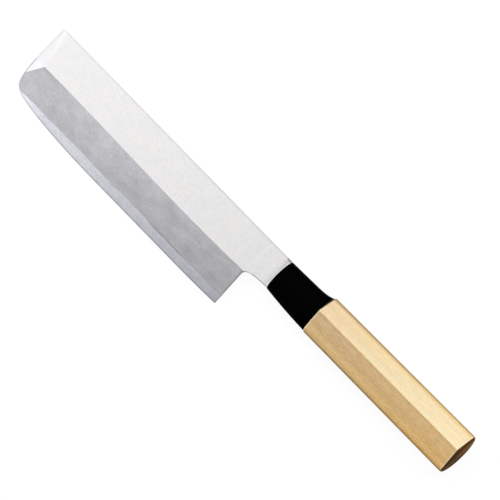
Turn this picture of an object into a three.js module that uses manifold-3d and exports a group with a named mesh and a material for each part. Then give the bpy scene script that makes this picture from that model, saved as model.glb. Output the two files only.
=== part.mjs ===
// Usuba: a Japanese vegetable knife with a square tip, a single-bevel blade of hard steel
// forge-welded under soft iron, and a D-section wooden handle with a black ferrule.
//
// Millimetres. +X runs from the handle to the tip, +Y from the spine to the cutting edge and
// +Z out of the bevelled face. While the pieces are made, x = 0 is the front of the ferrule,
// y = 0 the spine and z = 0 the weld between the iron and the hard steel.

import * as THREE from "three";
import { mergeVertices } from "three/addons/utils/BufferGeometryUtils.js";
import Module from "manifold-3d";

const wasm = await Module();
wasm.setup();
const { degToRad, lerp } = THREE.MathUtils;

// Blade outline
const BLADE_LENGTH = 179.5; // ferrule to the spine's corner at the tip
const BLADE_HEIGHT = 45.3; // spine to cutting edge
const HEEL_SETBACK = 14.1; // ferrule to the heel's corner
const HEEL_LEAN = 1.7; // how far the heel line leans to the tip on its way up to the neck
const HEEL_CORNER_RADIUS = 0.8;
const HEEL_RISE = 0.6; // how far the edge curves up towards the heel
const HEEL_RISE_LENGTH = 32; // stretch of the edge over which it does
const NECK_HEIGHT = 19.2; // at the ferrule
const NECK_RISE = 1.1; // how much the neck deepens on its way to the heel
const NOTCH_RADIUS = 3; // between the heel and the neck
const TIP_SETBACK = 1.2; // how far the front curves back on its way to the corner
const TIP_CORNER_HEIGHT = 13.5; // rounded corner, from the cutting edge up the front
const TIP_CORNER_LENGTH = 11.3; // the same corner, from the tip back along the edge
const TIP_CORNER_LEAN = 13; // degrees, where it leaves the front
const TIP_CORNER_RISE = 3.6; // where it runs into the belly, above the cutting edge
const BELLY_LENGTH = 60; // gently curved stretch of the edge behind the corner
const BELLY_ANGLE = 12; // degrees, between belly and edge at the corner

// Blade section
const SPINE_THICKNESS = 3.4;
const SHINOGI_THICKNESS = 3.1; // at the ridge line between the flat and the bevel
const FLAT_HEIGHT = 22.3; // from the spine to the ridge line
const EDGE_LAND = 0.15; // thickness left on the cutting edge
const HARD_STEEL_THICKNESS = 0.83;
const HARD_STEEL_SETBACK = 4.7; // ferrule to the end of the hard steel in the neck
const SPINE_CHAMFER = 0.6;
const TIP_FACET_LENGTH = 7.6; // facet that thins the tip, along the ridge line
const TIP_FACET_CORNER = 1; // the same facet, along the spine
const TIP_FACET_DROP = 1.3; // how far it has fallen where the front meets the corner
const TIP_SHOULDER_LENGTH = 6; // softer shoulder between flat and facet, along the spine
const TIP_SHOULDER_DROP = 0.3; // how far the shoulder has fallen where the facet starts
const TIP_BEVEL_ANGLE = 58; // degrees, steep bevel round the tip corner
const HOLLOW_DEPTH = 0.3; // hollow-ground back
const HOLLOW_RIM = 2; // flat left along the spine and the edge
const HOLLOW_END = 6; // flat left at the tip and at the heel

// Tang
const TANG_LENGTH = 96;
const TANG_SHOULDER = 5; // step from the ferrule's outline down to the tang, on either side
const TANG_END_HEIGHT = 4.6;
const TANG_END_THICKNESS = 2.4;

// Joint of tang, resin, tenon and ferrule, from the inside out
const RESIN_FILM = 0.5;
const TENON_WALL = 1.4; // wood between the tang's socket and the outside of the tenon
const TENON_CORNER_RADIUS = 2.6;
const TENON_RECESS = 0.8; // front of the tenon behind the front of the ferrule
const FERRULE_WALL = 2.2; // at the front, on both faces
const FIT_GAP = 0.2; // between pieces that slide into each other

// Ferrule
const FERRULE_LENGTH = 30.2;
const NECK_PROUD = 0.1; // spine of the neck above the ferrule
const FERRULE_ROUND = 0.5; // worn edge at its front
const FERRULE_INSET = 0.4; // its rear inside the wood's outline, on the edge side
const FERRULE_FLARE = 2; // cove on the spine side, where it swells to meet the wood
const FERRULE_FLARE_LENGTH = 13.5;

// Wooden grip, a D section with one ridge along the bevelled side
const GRIP_LENGTH = 106.1;
const GRIP_FRONT_HEIGHT = 24.75;
const GRIP_BUTT_HEIGHT = 25.85;
const GRIP_FRONT_RIDGE = 9; // from the blade's plane to the ridge
const GRIP_BUTT_RIDGE = 9.3;
const GRIP_FRONT_BACK = 10.3; // from the blade's plane to the rounded back
const GRIP_BUTT_BACK = 12.4;
const GRIP_FRONT_LIFT = 0.45; // grip's middle at its front, towards the spine from the ferrule's
const GRIP_BUTT_LIFT = 1.15; // and at its butt
const RIDGE_SHIFT = 1.3; // ridge off the middle, towards the spine
const FACET_SLOPE = 28; // degrees, of the two faces beside the ridge
const GRIP_CHAMFER = 0.8; // front edge of the wood
const BUTT_ROUND = 0.4;

// Facets
const CURVE_STEPS = 10; // in each curve of an outline
const SIDE_STEPS = 9; // each side of the handle's ridge
const BACK_STEPS = 22; // round the handle's back
const FERRULE_STEPS = 10; // along the ferrule
const GRIP_STEPS = 4; // along the grip
const HOLLOW_STEPS_ALONG = 26;
const HOLLOW_STEPS_ACROSS = 12;

// Shares that shape the curves
const ROUND_REACH = 0.5523; // handle of a Bezier curve that makes a quarter of an ellipse
const FACET_REACH = 0.6; // longer handle, which keeps the faces beside the ridge flat
const SIDE_REACH = 0.25; // shorter handle, which rounds them over at the sides
const CORNER_REACH = 0.55;
const CORNER_EDGE_REACH = 0.78;
const BELLY_REACH = 0.11;
const BELLY_EDGE_REACH = 0.55;
const COVE_POWER = 2.6; // how late the cove of the ferrule swells
const SWELL_POWER = 1.6; // how early its edge side does
const HOLLOW_END_POWER = 8; // keeps the hollow deep until close to its ends

// Levels and sizes that follow from the above
const BACK_LEVEL = -HARD_STEEL_THICKNESS; // z of the blade's back
const SPINE_LEVEL = BACK_LEVEL + SPINE_THICKNESS;
const SHINOGI_LEVEL = BACK_LEVEL + SHINOGI_THICKNESS;
const LAND_LEVEL = BACK_LEVEL + EDGE_LAND;
const PLATE_MIDDLE = (SPINE_LEVEL + BACK_LEVEL) / 2;
const TIP_STRAIGHT = BLADE_HEIGHT - TIP_CORNER_HEIGHT;
const HANDLE_LENGTH = FERRULE_LENGTH + GRIP_LENGTH;
const FERRULE_HEIGHT = NECK_HEIGHT - NECK_PROUD;
const FERRULE_AXIS = NECK_HEIGHT - FERRULE_HEIGHT / 2;
const RESIN_MARGIN = FIT_GAP + RESIN_FILM;
const SOCKET_MARGIN = RESIN_MARGIN + FIT_GAP;
const TENON_MARGIN = SOCKET_MARGIN + TENON_WALL;
const FERRULE_MARGIN = TENON_MARGIN + FIT_GAP + FERRULE_WALL;
const FERRULE_THICKNESS = SPINE_THICKNESS + 2 * FERRULE_MARGIN;
const TANG_HEIGHT = FERRULE_HEIGHT - 2 * TANG_SHOULDER;
const GRINDING_BLOCK = 4 * BLADE_LENGTH; // larger than anything it takes material off
const OVERCUT = 1; // how far a cut or a joined piece runs past the face that it meets
const SAME_POINT = 1e-4;

const at = (x, y, z) => new THREE.Vector3(x, y, z);

// Turns a closed geometry into a solid that can be cut and joined.
function solid(geometry) {
  const bare = geometry.clone();
  bare.deleteAttribute("normal");
  bare.deleteAttribute("uv");
  const merged = mergeVertices(bare, SAME_POINT);
  return new wasm.Manifold(
    new wasm.Mesh({
      numProp: 3,
      vertProperties: new Float32Array(merged.attributes.position.array),
      triVerts: new Uint32Array(merged.index.array),
    }),
  );
}

// Turns a solid back into a geometry for a mesh.
function geometryOf(body) {
  const { vertProperties, triVerts } = body.getMesh();
  const geometry = new THREE.BufferGeometry();
  geometry.setAttribute("position", new THREE.BufferAttribute(vertProperties, 3));
  geometry.setIndex(new THREE.BufferAttribute(triVerts, 1));
  geometry.computeVertexNormals();
  return geometry;
}

// Skins loops of points that follow each other towards -x, and closes the first and the last.
function loft(loops) {
  const count = loops[0].length;
  const faces = [];
  for (let row = 0; row + 1 < loops.length; row++) {
    const here = row * count;
    const next = here + count;
    for (let i = 0; i < count; i++) {
      const j = (i + 1) % count;
      faces.push(here + i, next + i, next + j, here + i, next + j, here + j);
    }
  }
  const triangulate = (loop) =>
    THREE.ShapeUtils.triangulateShape(loop.map((p) => new THREE.Vector2(p.y, p.z)), []);
  const last = (loops.length - 1) * count;
  for (const [a, b, c] of triangulate(loops[0])) faces.push(a, b, c);
  for (const [a, b, c] of triangulate(loops.at(-1))) faces.push(last + a, last + c, last + b);
  const geometry = new THREE.BufferGeometry().setFromPoints(loops.flat());
  geometry.setIndex(faces);
  return solid(geometry);
}

// Takes off everything on the outer side of the plane through three points.
function grind(body, a, b, c, outside) {
  const normal = new THREE.Plane().setFromCoplanarPoints(a, b, c).normal;
  if (normal.dot(outside) < 0) normal.negate();
  const block = new THREE.BoxGeometry(GRINDING_BLOCK, GRINDING_BLOCK, GRINDING_BLOCK);
  block.translate(0, 0, GRINDING_BLOCK / 2);
  block.applyQuaternion(new THREE.Quaternion().setFromUnitVectors(at(0, 0, 1), normal));
  block.translate(a.x, a.y, a.z);
  return body.subtract(solid(block));
}

// The rounded tip corner and the belly of the edge behind it.
function tipCurves() {
  const cornerStart = new THREE.Vector2(BLADE_LENGTH - TIP_SETBACK, TIP_STRAIGHT);
  const cornerEnd = new THREE.Vector2(
    BLADE_LENGTH - TIP_CORNER_LENGTH,
    BLADE_HEIGHT - TIP_CORNER_RISE,
  );
  const edgeStart = new THREE.Vector2(cornerEnd.x - BELLY_LENGTH, BLADE_HEIGHT);
  const drop = CORNER_REACH * (cornerEnd.y - cornerStart.y);
  const lean = Math.tan(degToRad(TIP_CORNER_LEAN));
  const slope = Math.tan(degToRad(BELLY_ANGLE));
  const onBelly = (x) => new THREE.Vector2(cornerEnd.x + x, cornerEnd.y - slope * x);
  return {
    corner: new THREE.CubicBezierCurve(
      cornerStart,
      new THREE.Vector2(cornerStart.x - lean * drop, cornerStart.y + drop),
      onBelly(CORNER_EDGE_REACH * (cornerStart.x - cornerEnd.x)),
      cornerEnd,
    ),
    belly: new THREE.CubicBezierCurve(
      cornerEnd,
      onBelly(-BELLY_REACH * BELLY_LENGTH),
      new THREE.Vector2(edgeStart.x + BELLY_EDGE_REACH * BELLY_LENGTH, BLADE_HEIGHT),
      edgeStart,
    ),
  };
}

// Plan of the blade and neck, without the tang.
function bladeOutline() {
  const { corner, belly } = tipCurves();
  const riseStart = new THREE.Vector2(HEEL_SETBACK + HEEL_RISE_LENGTH, BLADE_HEIGHT);
  const riseBend = new THREE.Vector2(HEEL_SETBACK + HEEL_RISE_LENGTH / 2, BLADE_HEIGHT);
  const heel = new THREE.Vector2(HEEL_SETBACK, BLADE_HEIGHT - HEEL_RISE);
  const notch = new THREE.Vector2(HEEL_SETBACK + HEEL_LEAN, NECK_HEIGHT + NECK_RISE);
  const neckEnd = new THREE.Vector2(0, NECK_HEIGHT);
  const towards = (from, to, distance) =>
    from.clone().addScaledVector(to.clone().sub(from).normalize(), distance);
  const heelStart = towards(heel, riseBend, HEEL_CORNER_RADIUS);
  const heelEnd = towards(heel, notch, HEEL_CORNER_RADIUS);
  const notchStart = towards(notch, heel, NOTCH_RADIUS);
  const notchEnd = towards(notch, neckEnd, NOTCH_RADIUS);

  const outline = new THREE.Shape();
  outline.moveTo(0, 0);
  outline.lineTo(BLADE_LENGTH, 0);
  outline.quadraticCurveTo(BLADE_LENGTH, TIP_STRAIGHT / 2, corner.v0.x, corner.v0.y);
  for (const { v1, v2, v3 } of [corner, belly]) {
    outline.bezierCurveTo(v1.x, v1.y, v2.x, v2.y, v3.x, v3.y);
  }
  outline.lineTo(riseStart.x, riseStart.y);
  outline.quadraticCurveTo(riseBend.x, riseBend.y, heelStart.x, heelStart.y);
  outline.quadraticCurveTo(heel.x, heel.y, heelEnd.x, heelEnd.y);
  outline.lineTo(notchStart.x, notchStart.y);
  outline.quadraticCurveTo(notch.x, notch.y, notchEnd.x, notchEnd.y);
  outline.lineTo(neckEnd.x, neckEnd.y);
  outline.closePath();
  return outline;
}

// The wheel's hollow in the back: deepest along its middle, fading out at its borders.
function hollowCutter() {
  const start = HEEL_SETBACK + HEEL_LEAN + HOLLOW_END;
  const length = BLADE_LENGTH - TIP_SETBACK - HOLLOW_END - start;
  const width = BLADE_HEIGHT - 2 * HOLLOW_RIM;
  const block = new THREE.BoxGeometry(
    length, width, 2 * OVERCUT, HOLLOW_STEPS_ALONG, HOLLOW_STEPS_ACROSS, 1,
  );
  const place = block.attributes.position;
  for (let i = 0; i < place.count; i++) {
    if (place.getZ(i) < 0) continue;
    const across = 1 - ((2 * place.getY(i)) / width) ** 2;
    const along = 1 - ((2 * place.getX(i)) / length) ** HOLLOW_END_POWER;
    place.setZ(i, place.getZ(i) + HOLLOW_DEPTH * across * along);
  }
  block.translate(start + length / 2, BLADE_HEIGHT / 2, BACK_LEVEL - OVERCUT);
  return solid(block);
}

// The small steep bevel that follows the tip corner and dies out along the belly.
function bevelTipCorner(body) {
  const { corner, belly } = tipCurves();
  const rim = [...corner.getPoints(CURVE_STEPS), ...belly.getPoints(CURVE_STEPS).slice(1)];
  const run = 1 / Math.tan(degToRad(TIP_BEVEL_ANGLE));
  for (let i = 0; i + 1 < rim.length; i++) {
    const [a, b] = [rim[i], rim[i + 1]];
    const inwards = new THREE.Vector2(a.y - b.y, b.x - a.x).normalize();
    body = grind(
      body,
      at(a.x, a.y, LAND_LEVEL),
      at(b.x, b.y, LAND_LEVEL),
      at(a.x + run * inwards.x, a.y + run * inwards.y, LAND_LEVEL + 1),
      at(-inwards.x, -inwards.y, 0),
    );
  }
  return body;
}

// The whole ground blade, before it is parted into iron and hard steel.
function groundBlade() {
  const up = at(0, 0, 1);
  const blank = new THREE.ExtrudeGeometry(bladeOutline(), {
    depth: SPINE_THICKNESS,
    bevelEnabled: false,
    curveSegments: CURVE_STEPS,
  });
  blank.translate(0, 0, BACK_LEVEL);
  let body = solid(blank);

  // Flat and bevel meet in the ridge line.
  const ridge = [at(0, FLAT_HEIGHT, SHINOGI_LEVEL), at(BLADE_LENGTH, FLAT_HEIGHT, SHINOGI_LEVEL)];
  body = grind(body, ...ridge, at(0, 0, SPINE_LEVEL), up);
  body = grind(body, ...ridge, at(0, BLADE_HEIGHT, LAND_LEVEL), up);

  // A soft shoulder and then the facet fall from the flat to the front of the square tip.
  const facetBorder = [
    at(BLADE_LENGTH - TIP_FACET_LENGTH, FLAT_HEIGHT, SHINOGI_LEVEL),
    at(BLADE_LENGTH - TIP_FACET_CORNER, 0, SPINE_LEVEL - TIP_SHOULDER_DROP),
  ];
  const facetEnd = at(BLADE_LENGTH - TIP_SETBACK, TIP_STRAIGHT, SHINOGI_LEVEL - TIP_FACET_DROP);
  body = grind(body, ...facetBorder, at(BLADE_LENGTH - TIP_SHOULDER_LENGTH, 0, SPINE_LEVEL), up);
  body = grind(body, ...facetBorder, facetEnd, up);

  // Both edges of the spine are broken.
  for (const [level, outwards] of [[SPINE_LEVEL, 1], [BACK_LEVEL, -1]]) {
    body = grind(
      body,
      at(0, SPINE_CHAMFER, level),
      at(BLADE_LENGTH, SPINE_CHAMFER, level),
      at(0, 0, level - outwards * SPINE_CHAMFER),
      at(0, -1, outwards),
    );
  }
  return bevelTipCorner(body).subtract(hollowCutter());
}

// How far the handle's middle lies from the ferrule's, towards the spine, at a station x.
function handleLift(x) {
  if (x >= -FERRULE_LENGTH) return lerp(0, GRIP_FRONT_LIFT, -x / FERRULE_LENGTH);
  return lerp(GRIP_FRONT_LIFT, GRIP_BUTT_LIFT, (-x - FERRULE_LENGTH) / GRIP_LENGTH);
}

// The tang as a tapered bar from a station x back to its end, grown all round by a margin.
function tangBar(margin, front) {
  const loopAt = (x) => {
    const share = -x / TANG_LENGTH;
    const y = FERRULE_AXIS - share * handleLift(-TANG_LENGTH);
    const height = lerp(TANG_HEIGHT, TANG_END_HEIGHT, share) / 2 + margin;
    const thickness = lerp(SPINE_THICKNESS, TANG_END_THICKNESS, share) / 2 + margin;
    return [[-1, -1], [1, -1], [1, 1], [-1, 1]].map(([across, up]) =>
      at(x, y + across * height, PLATE_MIDDLE + up * thickness),
    );
  };
  return loft([loopAt(front), loopAt(-TANG_LENGTH - margin)]);
}

// Soft iron with the tang, and the hard steel under it that comes out along the edge.
function bladePieces() {
  const block = new THREE.BoxGeometry(GRINDING_BLOCK, GRINDING_BLOCK, GRINDING_BLOCK);
  block.translate(HARD_STEEL_SETBACK + GRINDING_BLOCK / 2, 0, -GRINDING_BLOCK / 2);
  const underWeld = solid(block);
  const body = groundBlade();
  return {
    iron: geometryOf(body.subtract(underWeld).add(tangBar(0, 0))),
    hardSteel: geometryOf(body.intersect(underWeld)),
  };
}

// One loop of the handle: an oval where ridgeness is 0, a D with a sharp ridge where it is 1.
// A margin draws it in all round.
function handleLoop({ x, top, bottom, ridge, back, ridgeness }, margin = 0) {
  const half = (bottom - top) / 2 - margin;
  const middle = (bottom + top) / 2;
  const crest = ridge - margin;
  const shift = -RIDGE_SHIFT * ridgeness;
  const slope = Math.tan(degToRad(FACET_SLOPE * ridgeness));
  const reach = lerp(ROUND_REACH, FACET_REACH, ridgeness);
  const side = lerp(ROUND_REACH, SIDE_REACH, ridgeness) * crest;
  const face = (edge) => {
    const run = reach * (edge - shift);
    const curve = new THREE.CubicBezierCurve(
      new THREE.Vector2(edge, 0),
      new THREE.Vector2(edge, side),
      new THREE.Vector2(shift + run, crest - slope * Math.abs(run)),
      new THREE.Vector2(shift, crest),
    );
    return curve.getPoints(SIDE_STEPS);
  };
  const belly = new THREE.EllipseCurve(0, 0, half, back - margin, Math.PI, 2 * Math.PI);
  const section = [
    ...face(half),
    ...face(-half).reverse().slice(1),
    ...belly.getPoints(BACK_STEPS).slice(1, -1),
  ];
  return section.map((p) => at(x, middle + p.x, PLATE_MIDDLE + p.y));
}

// Loops that round an edge over: from the end face to the full section, or the other way.
function roundedEnd(stationAt, endX, radius, inwards) {
  const early = radius * (1 - Math.SQRT1_2);
  return [
    handleLoop(stationAt(endX), radius),
    handleLoop(stationAt(endX + inwards * early), early),
    handleLoop(stationAt(endX + inwards * radius)),
  ];
}

// Size of the grip at a station x.
function gripStation(x) {
  const share = (-x - FERRULE_LENGTH) / GRIP_LENGTH;
  const middle = FERRULE_AXIS - handleLift(x);
  const half = lerp(GRIP_FRONT_HEIGHT, GRIP_BUTT_HEIGHT, share) / 2;
  return {
    x,
    top: middle - half,
    bottom: middle + half,
    ridge: lerp(GRIP_FRONT_RIDGE, GRIP_BUTT_RIDGE, share),
    back: lerp(GRIP_FRONT_BACK, GRIP_BUTT_BACK, share),
    ridgeness: 1,
  };
}

// Size of the ferrule at a station x: an oval at its front, the grip's D at its rear.
function ferruleStation(x) {
  const rear = gripStation(-FERRULE_LENGTH);
  const share = -x / FERRULE_LENGTH;
  const flare = Math.max(0, 1 - (FERRULE_LENGTH + x) / FERRULE_FLARE_LENGTH);
  const straightTop = rear.top + GRIP_CHAMFER + FERRULE_FLARE;
  return {
    x,
    top: lerp(NECK_PROUD, straightTop, share) - FERRULE_FLARE * flare ** COVE_POWER,
    bottom: lerp(NECK_HEIGHT, rear.bottom - FERRULE_INSET, 1 - (1 - share) ** SWELL_POWER),
    ridge: lerp(FERRULE_THICKNESS / 2, rear.ridge - GRIP_CHAMFER, share),
    back: lerp(FERRULE_THICKNESS / 2, rear.back - GRIP_CHAMFER, share),
    ridgeness: share,
  };
}

// Rounded bar on which the ferrule sits, between two stations, grown by a margin.
function tenonBar(margin, front, rear) {
  const height = TANG_HEIGHT / 2 + TENON_MARGIN + margin;
  const thickness = SPINE_THICKNESS / 2 + TENON_MARGIN + margin;
  const radius = Math.min(TENON_CORNER_RADIUS + margin, height, thickness);
  const quarter = Math.PI / 2;
  const section = new THREE.Path();
  [[1, 1], [-1, 1], [-1, -1], [1, -1]].forEach(([across, up], i) => {
    const centre = [across * (height - radius), up * (thickness - radius)];
    section.absarc(...centre, radius, i * quarter, (i + 1) * quarter);
  });
  const points = section.getPoints(CURVE_STEPS);
  const outline = points.filter((p, i) => p.distanceTo(points.at(i - 1)) > SAME_POINT);
  const loopAt = (x) => outline.map((p) => at(x, FERRULE_AXIS + p.x, PLATE_MIDDLE + p.y));
  return loft([loopAt(front), loopAt(rear)]);
}

// Black collar pushed over the tenon.
function ferrule() {
  const loops = roundedEnd(ferruleStation, 0, FERRULE_ROUND, -1);
  for (let i = 1; i <= FERRULE_STEPS; i++) {
    loops.push(handleLoop(ferruleStation(lerp(-FERRULE_ROUND, -FERRULE_LENGTH, i / FERRULE_STEPS))));
  }
  const bore = tenonBar(FIT_GAP, OVERCUT, -FERRULE_LENGTH - OVERCUT);
  return geometryOf(loft(loops).subtract(bore));
}

// Wooden grip with its tenon and the socket for the tang.
function grip() {
  const front = -FERRULE_LENGTH - GRIP_CHAMFER;
  const butt = roundedEnd(gripStation, -HANDLE_LENGTH, BUTT_ROUND, 1).reverse();
  const loops = [handleLoop(gripStation(-FERRULE_LENGTH), GRIP_CHAMFER)];
  for (let i = 0; i < GRIP_STEPS; i++) {
    loops.push(handleLoop(gripStation(lerp(front, BUTT_ROUND - HANDLE_LENGTH, i / GRIP_STEPS))));
  }
  const tenon = tenonBar(0, -TENON_RECESS, -FERRULE_LENGTH - OVERCUT);
  const socket = tangBar(SOCKET_MARGIN, 0);
  return geometryOf(loft([...loops, ...butt]).add(tenon).subtract(socket));
}

// Set resin that fills the socket round the tang.
function tangResin() {
  return geometryOf(tangBar(RESIN_MARGIN, -TENON_RECESS).subtract(tangBar(FIT_GAP, 0)));
}

// Hangs a named piece with its colour and finish in a group.
function addPiece(group, name, geometry, finish) {
  const piece = new THREE.Mesh(geometry, new THREE.MeshStandardMaterial(finish));
  piece.name = name;
  group.add(piece);
}

const { iron, hardSteel } = bladePieces();
const blade = new THREE.Group();
addPiece(blade, "blade_iron", iron, { color: 0xe6e4e4, roughness: 0.32, metalness: 1 });
addPiece(blade, "blade_hard_steel", hardSteel, { color: 0xd2d2d8, roughness: 0.25, metalness: 1 });

const handle = new THREE.Group();
addPiece(handle, "ferrule", ferrule(), { color: 0x060506, roughness: 0.45, metalness: 0 });
addPiece(handle, "grip", grip(), { color: 0xe2c08c, roughness: 0.6, metalness: 0 });
addPiece(handle, "tang_resin", tangResin(), { color: 0x6b4a24, roughness: 0.4, metalness: 0 });

// The knife lies on its back, bevel up, with the origin under the middle of its footprint.
const knife = new THREE.Group();
knife.add(blade, handle);
const box = new THREE.Box3().setFromObject(knife);
const middle = box.getCenter(new THREE.Vector3());
knife.position.set(-middle.x, -middle.y, -box.min.z);

const part = new THREE.Group();
part.add(knife);

export default part;
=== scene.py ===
"""Looks of the usuba knife: cross-ground and misted blade, black ferrule, pale wooden grip.

Shapes are worked out in millimetres in the frame of the workbench: x = 0 at the front of the
ferrule, y = 0 on the spine and z = 0 at the weld between the iron and the hard steel. Each
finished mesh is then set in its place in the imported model's frame, in metres.
"""
import logging
import math
from collections.abc import Callable, Iterable, Sequence
from dataclasses import dataclass
from enum import Enum
from typing import Any

import bmesh
import bpy
import numpy as np
from mathutils import Matrix, Vector


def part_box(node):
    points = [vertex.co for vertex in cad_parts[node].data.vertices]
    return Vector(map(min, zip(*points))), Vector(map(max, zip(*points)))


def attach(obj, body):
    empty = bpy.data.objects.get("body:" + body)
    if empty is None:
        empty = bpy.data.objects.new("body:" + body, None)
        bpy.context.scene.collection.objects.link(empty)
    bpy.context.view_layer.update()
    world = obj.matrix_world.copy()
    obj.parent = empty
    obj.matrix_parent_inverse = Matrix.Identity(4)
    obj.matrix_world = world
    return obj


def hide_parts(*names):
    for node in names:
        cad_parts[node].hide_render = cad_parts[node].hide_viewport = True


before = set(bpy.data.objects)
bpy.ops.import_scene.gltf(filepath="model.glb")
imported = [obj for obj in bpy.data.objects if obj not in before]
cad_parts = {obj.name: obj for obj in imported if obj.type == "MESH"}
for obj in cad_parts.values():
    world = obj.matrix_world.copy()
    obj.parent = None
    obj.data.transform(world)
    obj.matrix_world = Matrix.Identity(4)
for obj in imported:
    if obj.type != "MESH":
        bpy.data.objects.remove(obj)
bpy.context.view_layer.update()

Pair = tuple[float, float]
Stops = tuple[tuple[float, str], ...]
Inputs = dict[str, Any] | tuple
Socket = bpy.types.NodeSocket
Tree = bpy.types.NodeTree

LOG = logging.getLogger("usuba")
MM = 0.001
BODY = "root"
UP = Vector((0, 0, 1))
SQUARE = ((-1, -1), (1, -1), (1, 1), (-1, 1))
SLACK = 0.01  # how far off a line a point may lie and still be on it, millimetres
TINY = 1e-5  # anything smaller counts as nothing
OVERRUN = 1.0  # how far a tool body runs past the face that it cuts, millimetres
WAVE_RATE = 20.0  # radians per unit of a wave texture at a scale of 1
NOISE_MIDDLE = 0.5  # middle value of a noise texture


class Cut(Enum):
    """How a tool body changes a piece."""

    AWAY = "DIFFERENCE"
    KEEP = "INTERSECT"
    JOIN = "UNION"


class Zone(Enum):
    """Zone of the blade, by the slot of its finish."""

    FLAT = 0
    BEVEL = 1
    FACET = 2
    RIM = 3


class Blend(Enum):
    """How one colour lies over another."""

    COVER = "MIX"
    STAIN = "MULTIPLY"


class Edge(Enum):
    """Form of a broken edge, by the power of its curve."""

    CHAMFER = 1.0
    ROUND = 2.0


def linear(colour: str) -> tuple[float, float, float, float]:
    """Turns an sRGB hex colour into the linear values that shaders take.

    Args:
        colour: Six hex digits.

    Returns:
        Linear red, green, blue, and an alpha of 1.
    """
    levels = [int(colour[i:i + 2], 16) / 255 for i in (0, 2, 4)]
    return (*[v / 12.92 if v <= 0.04045 else ((v + 0.055) / 1.055) ** 2.4 for v in levels], 1.0)


def plug(tree: Tree, node: bpy.types.Node, inputs: Inputs) -> None:
    """Sets or links a node's inputs.

    Args:
        tree: Node tree of the node.
        node: Node whose inputs are set.
        inputs: Value, or socket to link, for each input by name, or in order for those in use.
    """
    by_name = isinstance(inputs, dict)
    sockets = node.inputs if by_name else [s for s in node.inputs if s.enabled]
    for key, value in inputs.items() if by_name else enumerate(inputs):
        if isinstance(value, Socket):
            tree.links.new(value, sockets[key])
        else:
            sockets[key].default_value = value


def add(
    tree: Tree,
    kind: str,
    inputs: Inputs = (),
    stops: Iterable[tuple[float, str]] = (),
    **settings: Any,
) -> Socket | None:
    """Adds a node with its settings and links.

    Args:
        tree: Node tree that gets the node.
        kind: Type of the node.
        inputs: Value, or socket to link, for each input by name, or in order for those in use.
        stops: Position and hex colour of each stop of a colour ramp.
        **settings: Attributes of the node.

    Returns:
        The first output in use, or None where there is none.
    """
    node = tree.nodes.new(kind)
    for name, value in settings.items():
        setattr(node, name, value)
    plug(tree, node, inputs)
    if stops:
        first, *inner, last = stops
        ramp = node.color_ramp.elements
        for stop, (position, colour) in zip(ramp, (first, last)):
            stop.position = position
            stop.color = linear(colour)
        for position, colour in inner:
            ramp.new(position).color = linear(colour)
    return next((s for s in node.outputs if s.enabled), None)


class Surface:
    """Material under work: its node tree, and the place on the piece that its patterns follow."""

    def __init__(self, name: str) -> None:
        """Starts a material.

        Args:
            name: Name of the real material and of how it was finished.
        """
        self.finish = bpy.data.materials.new(name)
        self.finish.use_nodes = True
        self.tree = self.finish.node_tree
        self.place = add(self.tree, "ShaderNodeTexCoord").node.outputs["Object"]
        self.x, self.y, _ = add(self.tree, "ShaderNodeSeparateXYZ", (self.place,)).node.outputs

    def marks(
        self, *sizes: float, detail: float = 2.0, roughness: float = 0.5, turn: float = 0.0
    ) -> Socket:
        """Irregular pattern whose marks have a real size.

        Args:
            *sizes: Millimetres along x, y and z; the last one given also holds for the rest.
            detail: Number of finer layers in it.
            roughness: Strength of those layers.
            turn: Degrees by which it is turned about z.

        Returns:
            The socket of the pattern.
        """
        along, across, over = (*sizes, sizes[-1], sizes[-1])[:3]
        scaled = add(self.tree, "ShaderNodeMapping", {
            "Vector": self.place,
            "Rotation": (0.0, 0.0, math.radians(turn)),
            "Scale": [1 / (size * MM) for size in (along, across, over)],
        })
        return add(self.tree, "ShaderNodeTexNoise", {
            "Vector": scaled, "Scale": 1.0, "Detail": detail, "Roughness": roughness,
        })

    def toned(self, colour: Socket, value: Socket, ends: Sequence, tones: Sequence) -> Socket:
        """Scales a colour by a tone that changes along a value.

        Args:
            colour: Socket of the colour.
            value: Socket of the value.
            ends: Values between which the tone changes.
            tones: Tone at either end.

        Returns:
            The socket of the scaled colour.
        """
        tone = add(self.tree, "ShaderNodeMapRange", (value, *ends, *tones))
        return add(self.tree, "ShaderNodeVectorMath", (colour, tone), operation="SCALE")

    def covered(
        self,
        colour: Socket,
        other: Socket | Sequence,
        value: Socket,
        ends: Sequence,
        most: float = 1.0,
        blend: Blend = Blend.COVER,
    ) -> Socket:
        """Lays another colour over a colour, more and more along a value.

        Args:
            colour: Socket of the colour.
            other: Socket or linear values of the colour on top.
            value: Socket of the value.
            ends: Values between which the cover grows.
            most: Cover at the second end.
            blend: How the two colours mix.

        Returns:
            The socket of the covered colour.
        """
        amount = add(self.tree, "ShaderNodeMapRange", (value, *ends, 0.0, most))
        return add(
            self.tree, "ShaderNodeMix", (amount, colour, other), data_type="RGBA", blend_type=blend.value
        )

    def finished(self, inputs: dict[str, Any]) -> bpy.types.Material:
        """Sets the inputs of the material's shader and returns the material."""
        plug(self.tree, self.tree.nodes["Principled BSDF"], inputs)
        return self.finish


def curve(*controls: Pair, steps: int = 40) -> list[Pair]:
    """Points along a Bezier curve of any degree, the last control included.

    Args:
        *controls: Control points in the plane.
        steps: Number of stretches.

    Returns:
        The points, from the first control to the last.
    """
    share = np.linspace(0, 1, steps + 1)[:, None]
    rows = [np.tile(np.array(c, float), (steps + 1, 1)) for c in controls]
    while len(rows) > 1:
        rows = [a + (b - a) * share for a, b in zip(rows, rows[1:])]
    return [tuple(p) for p in rows[0]]


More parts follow.
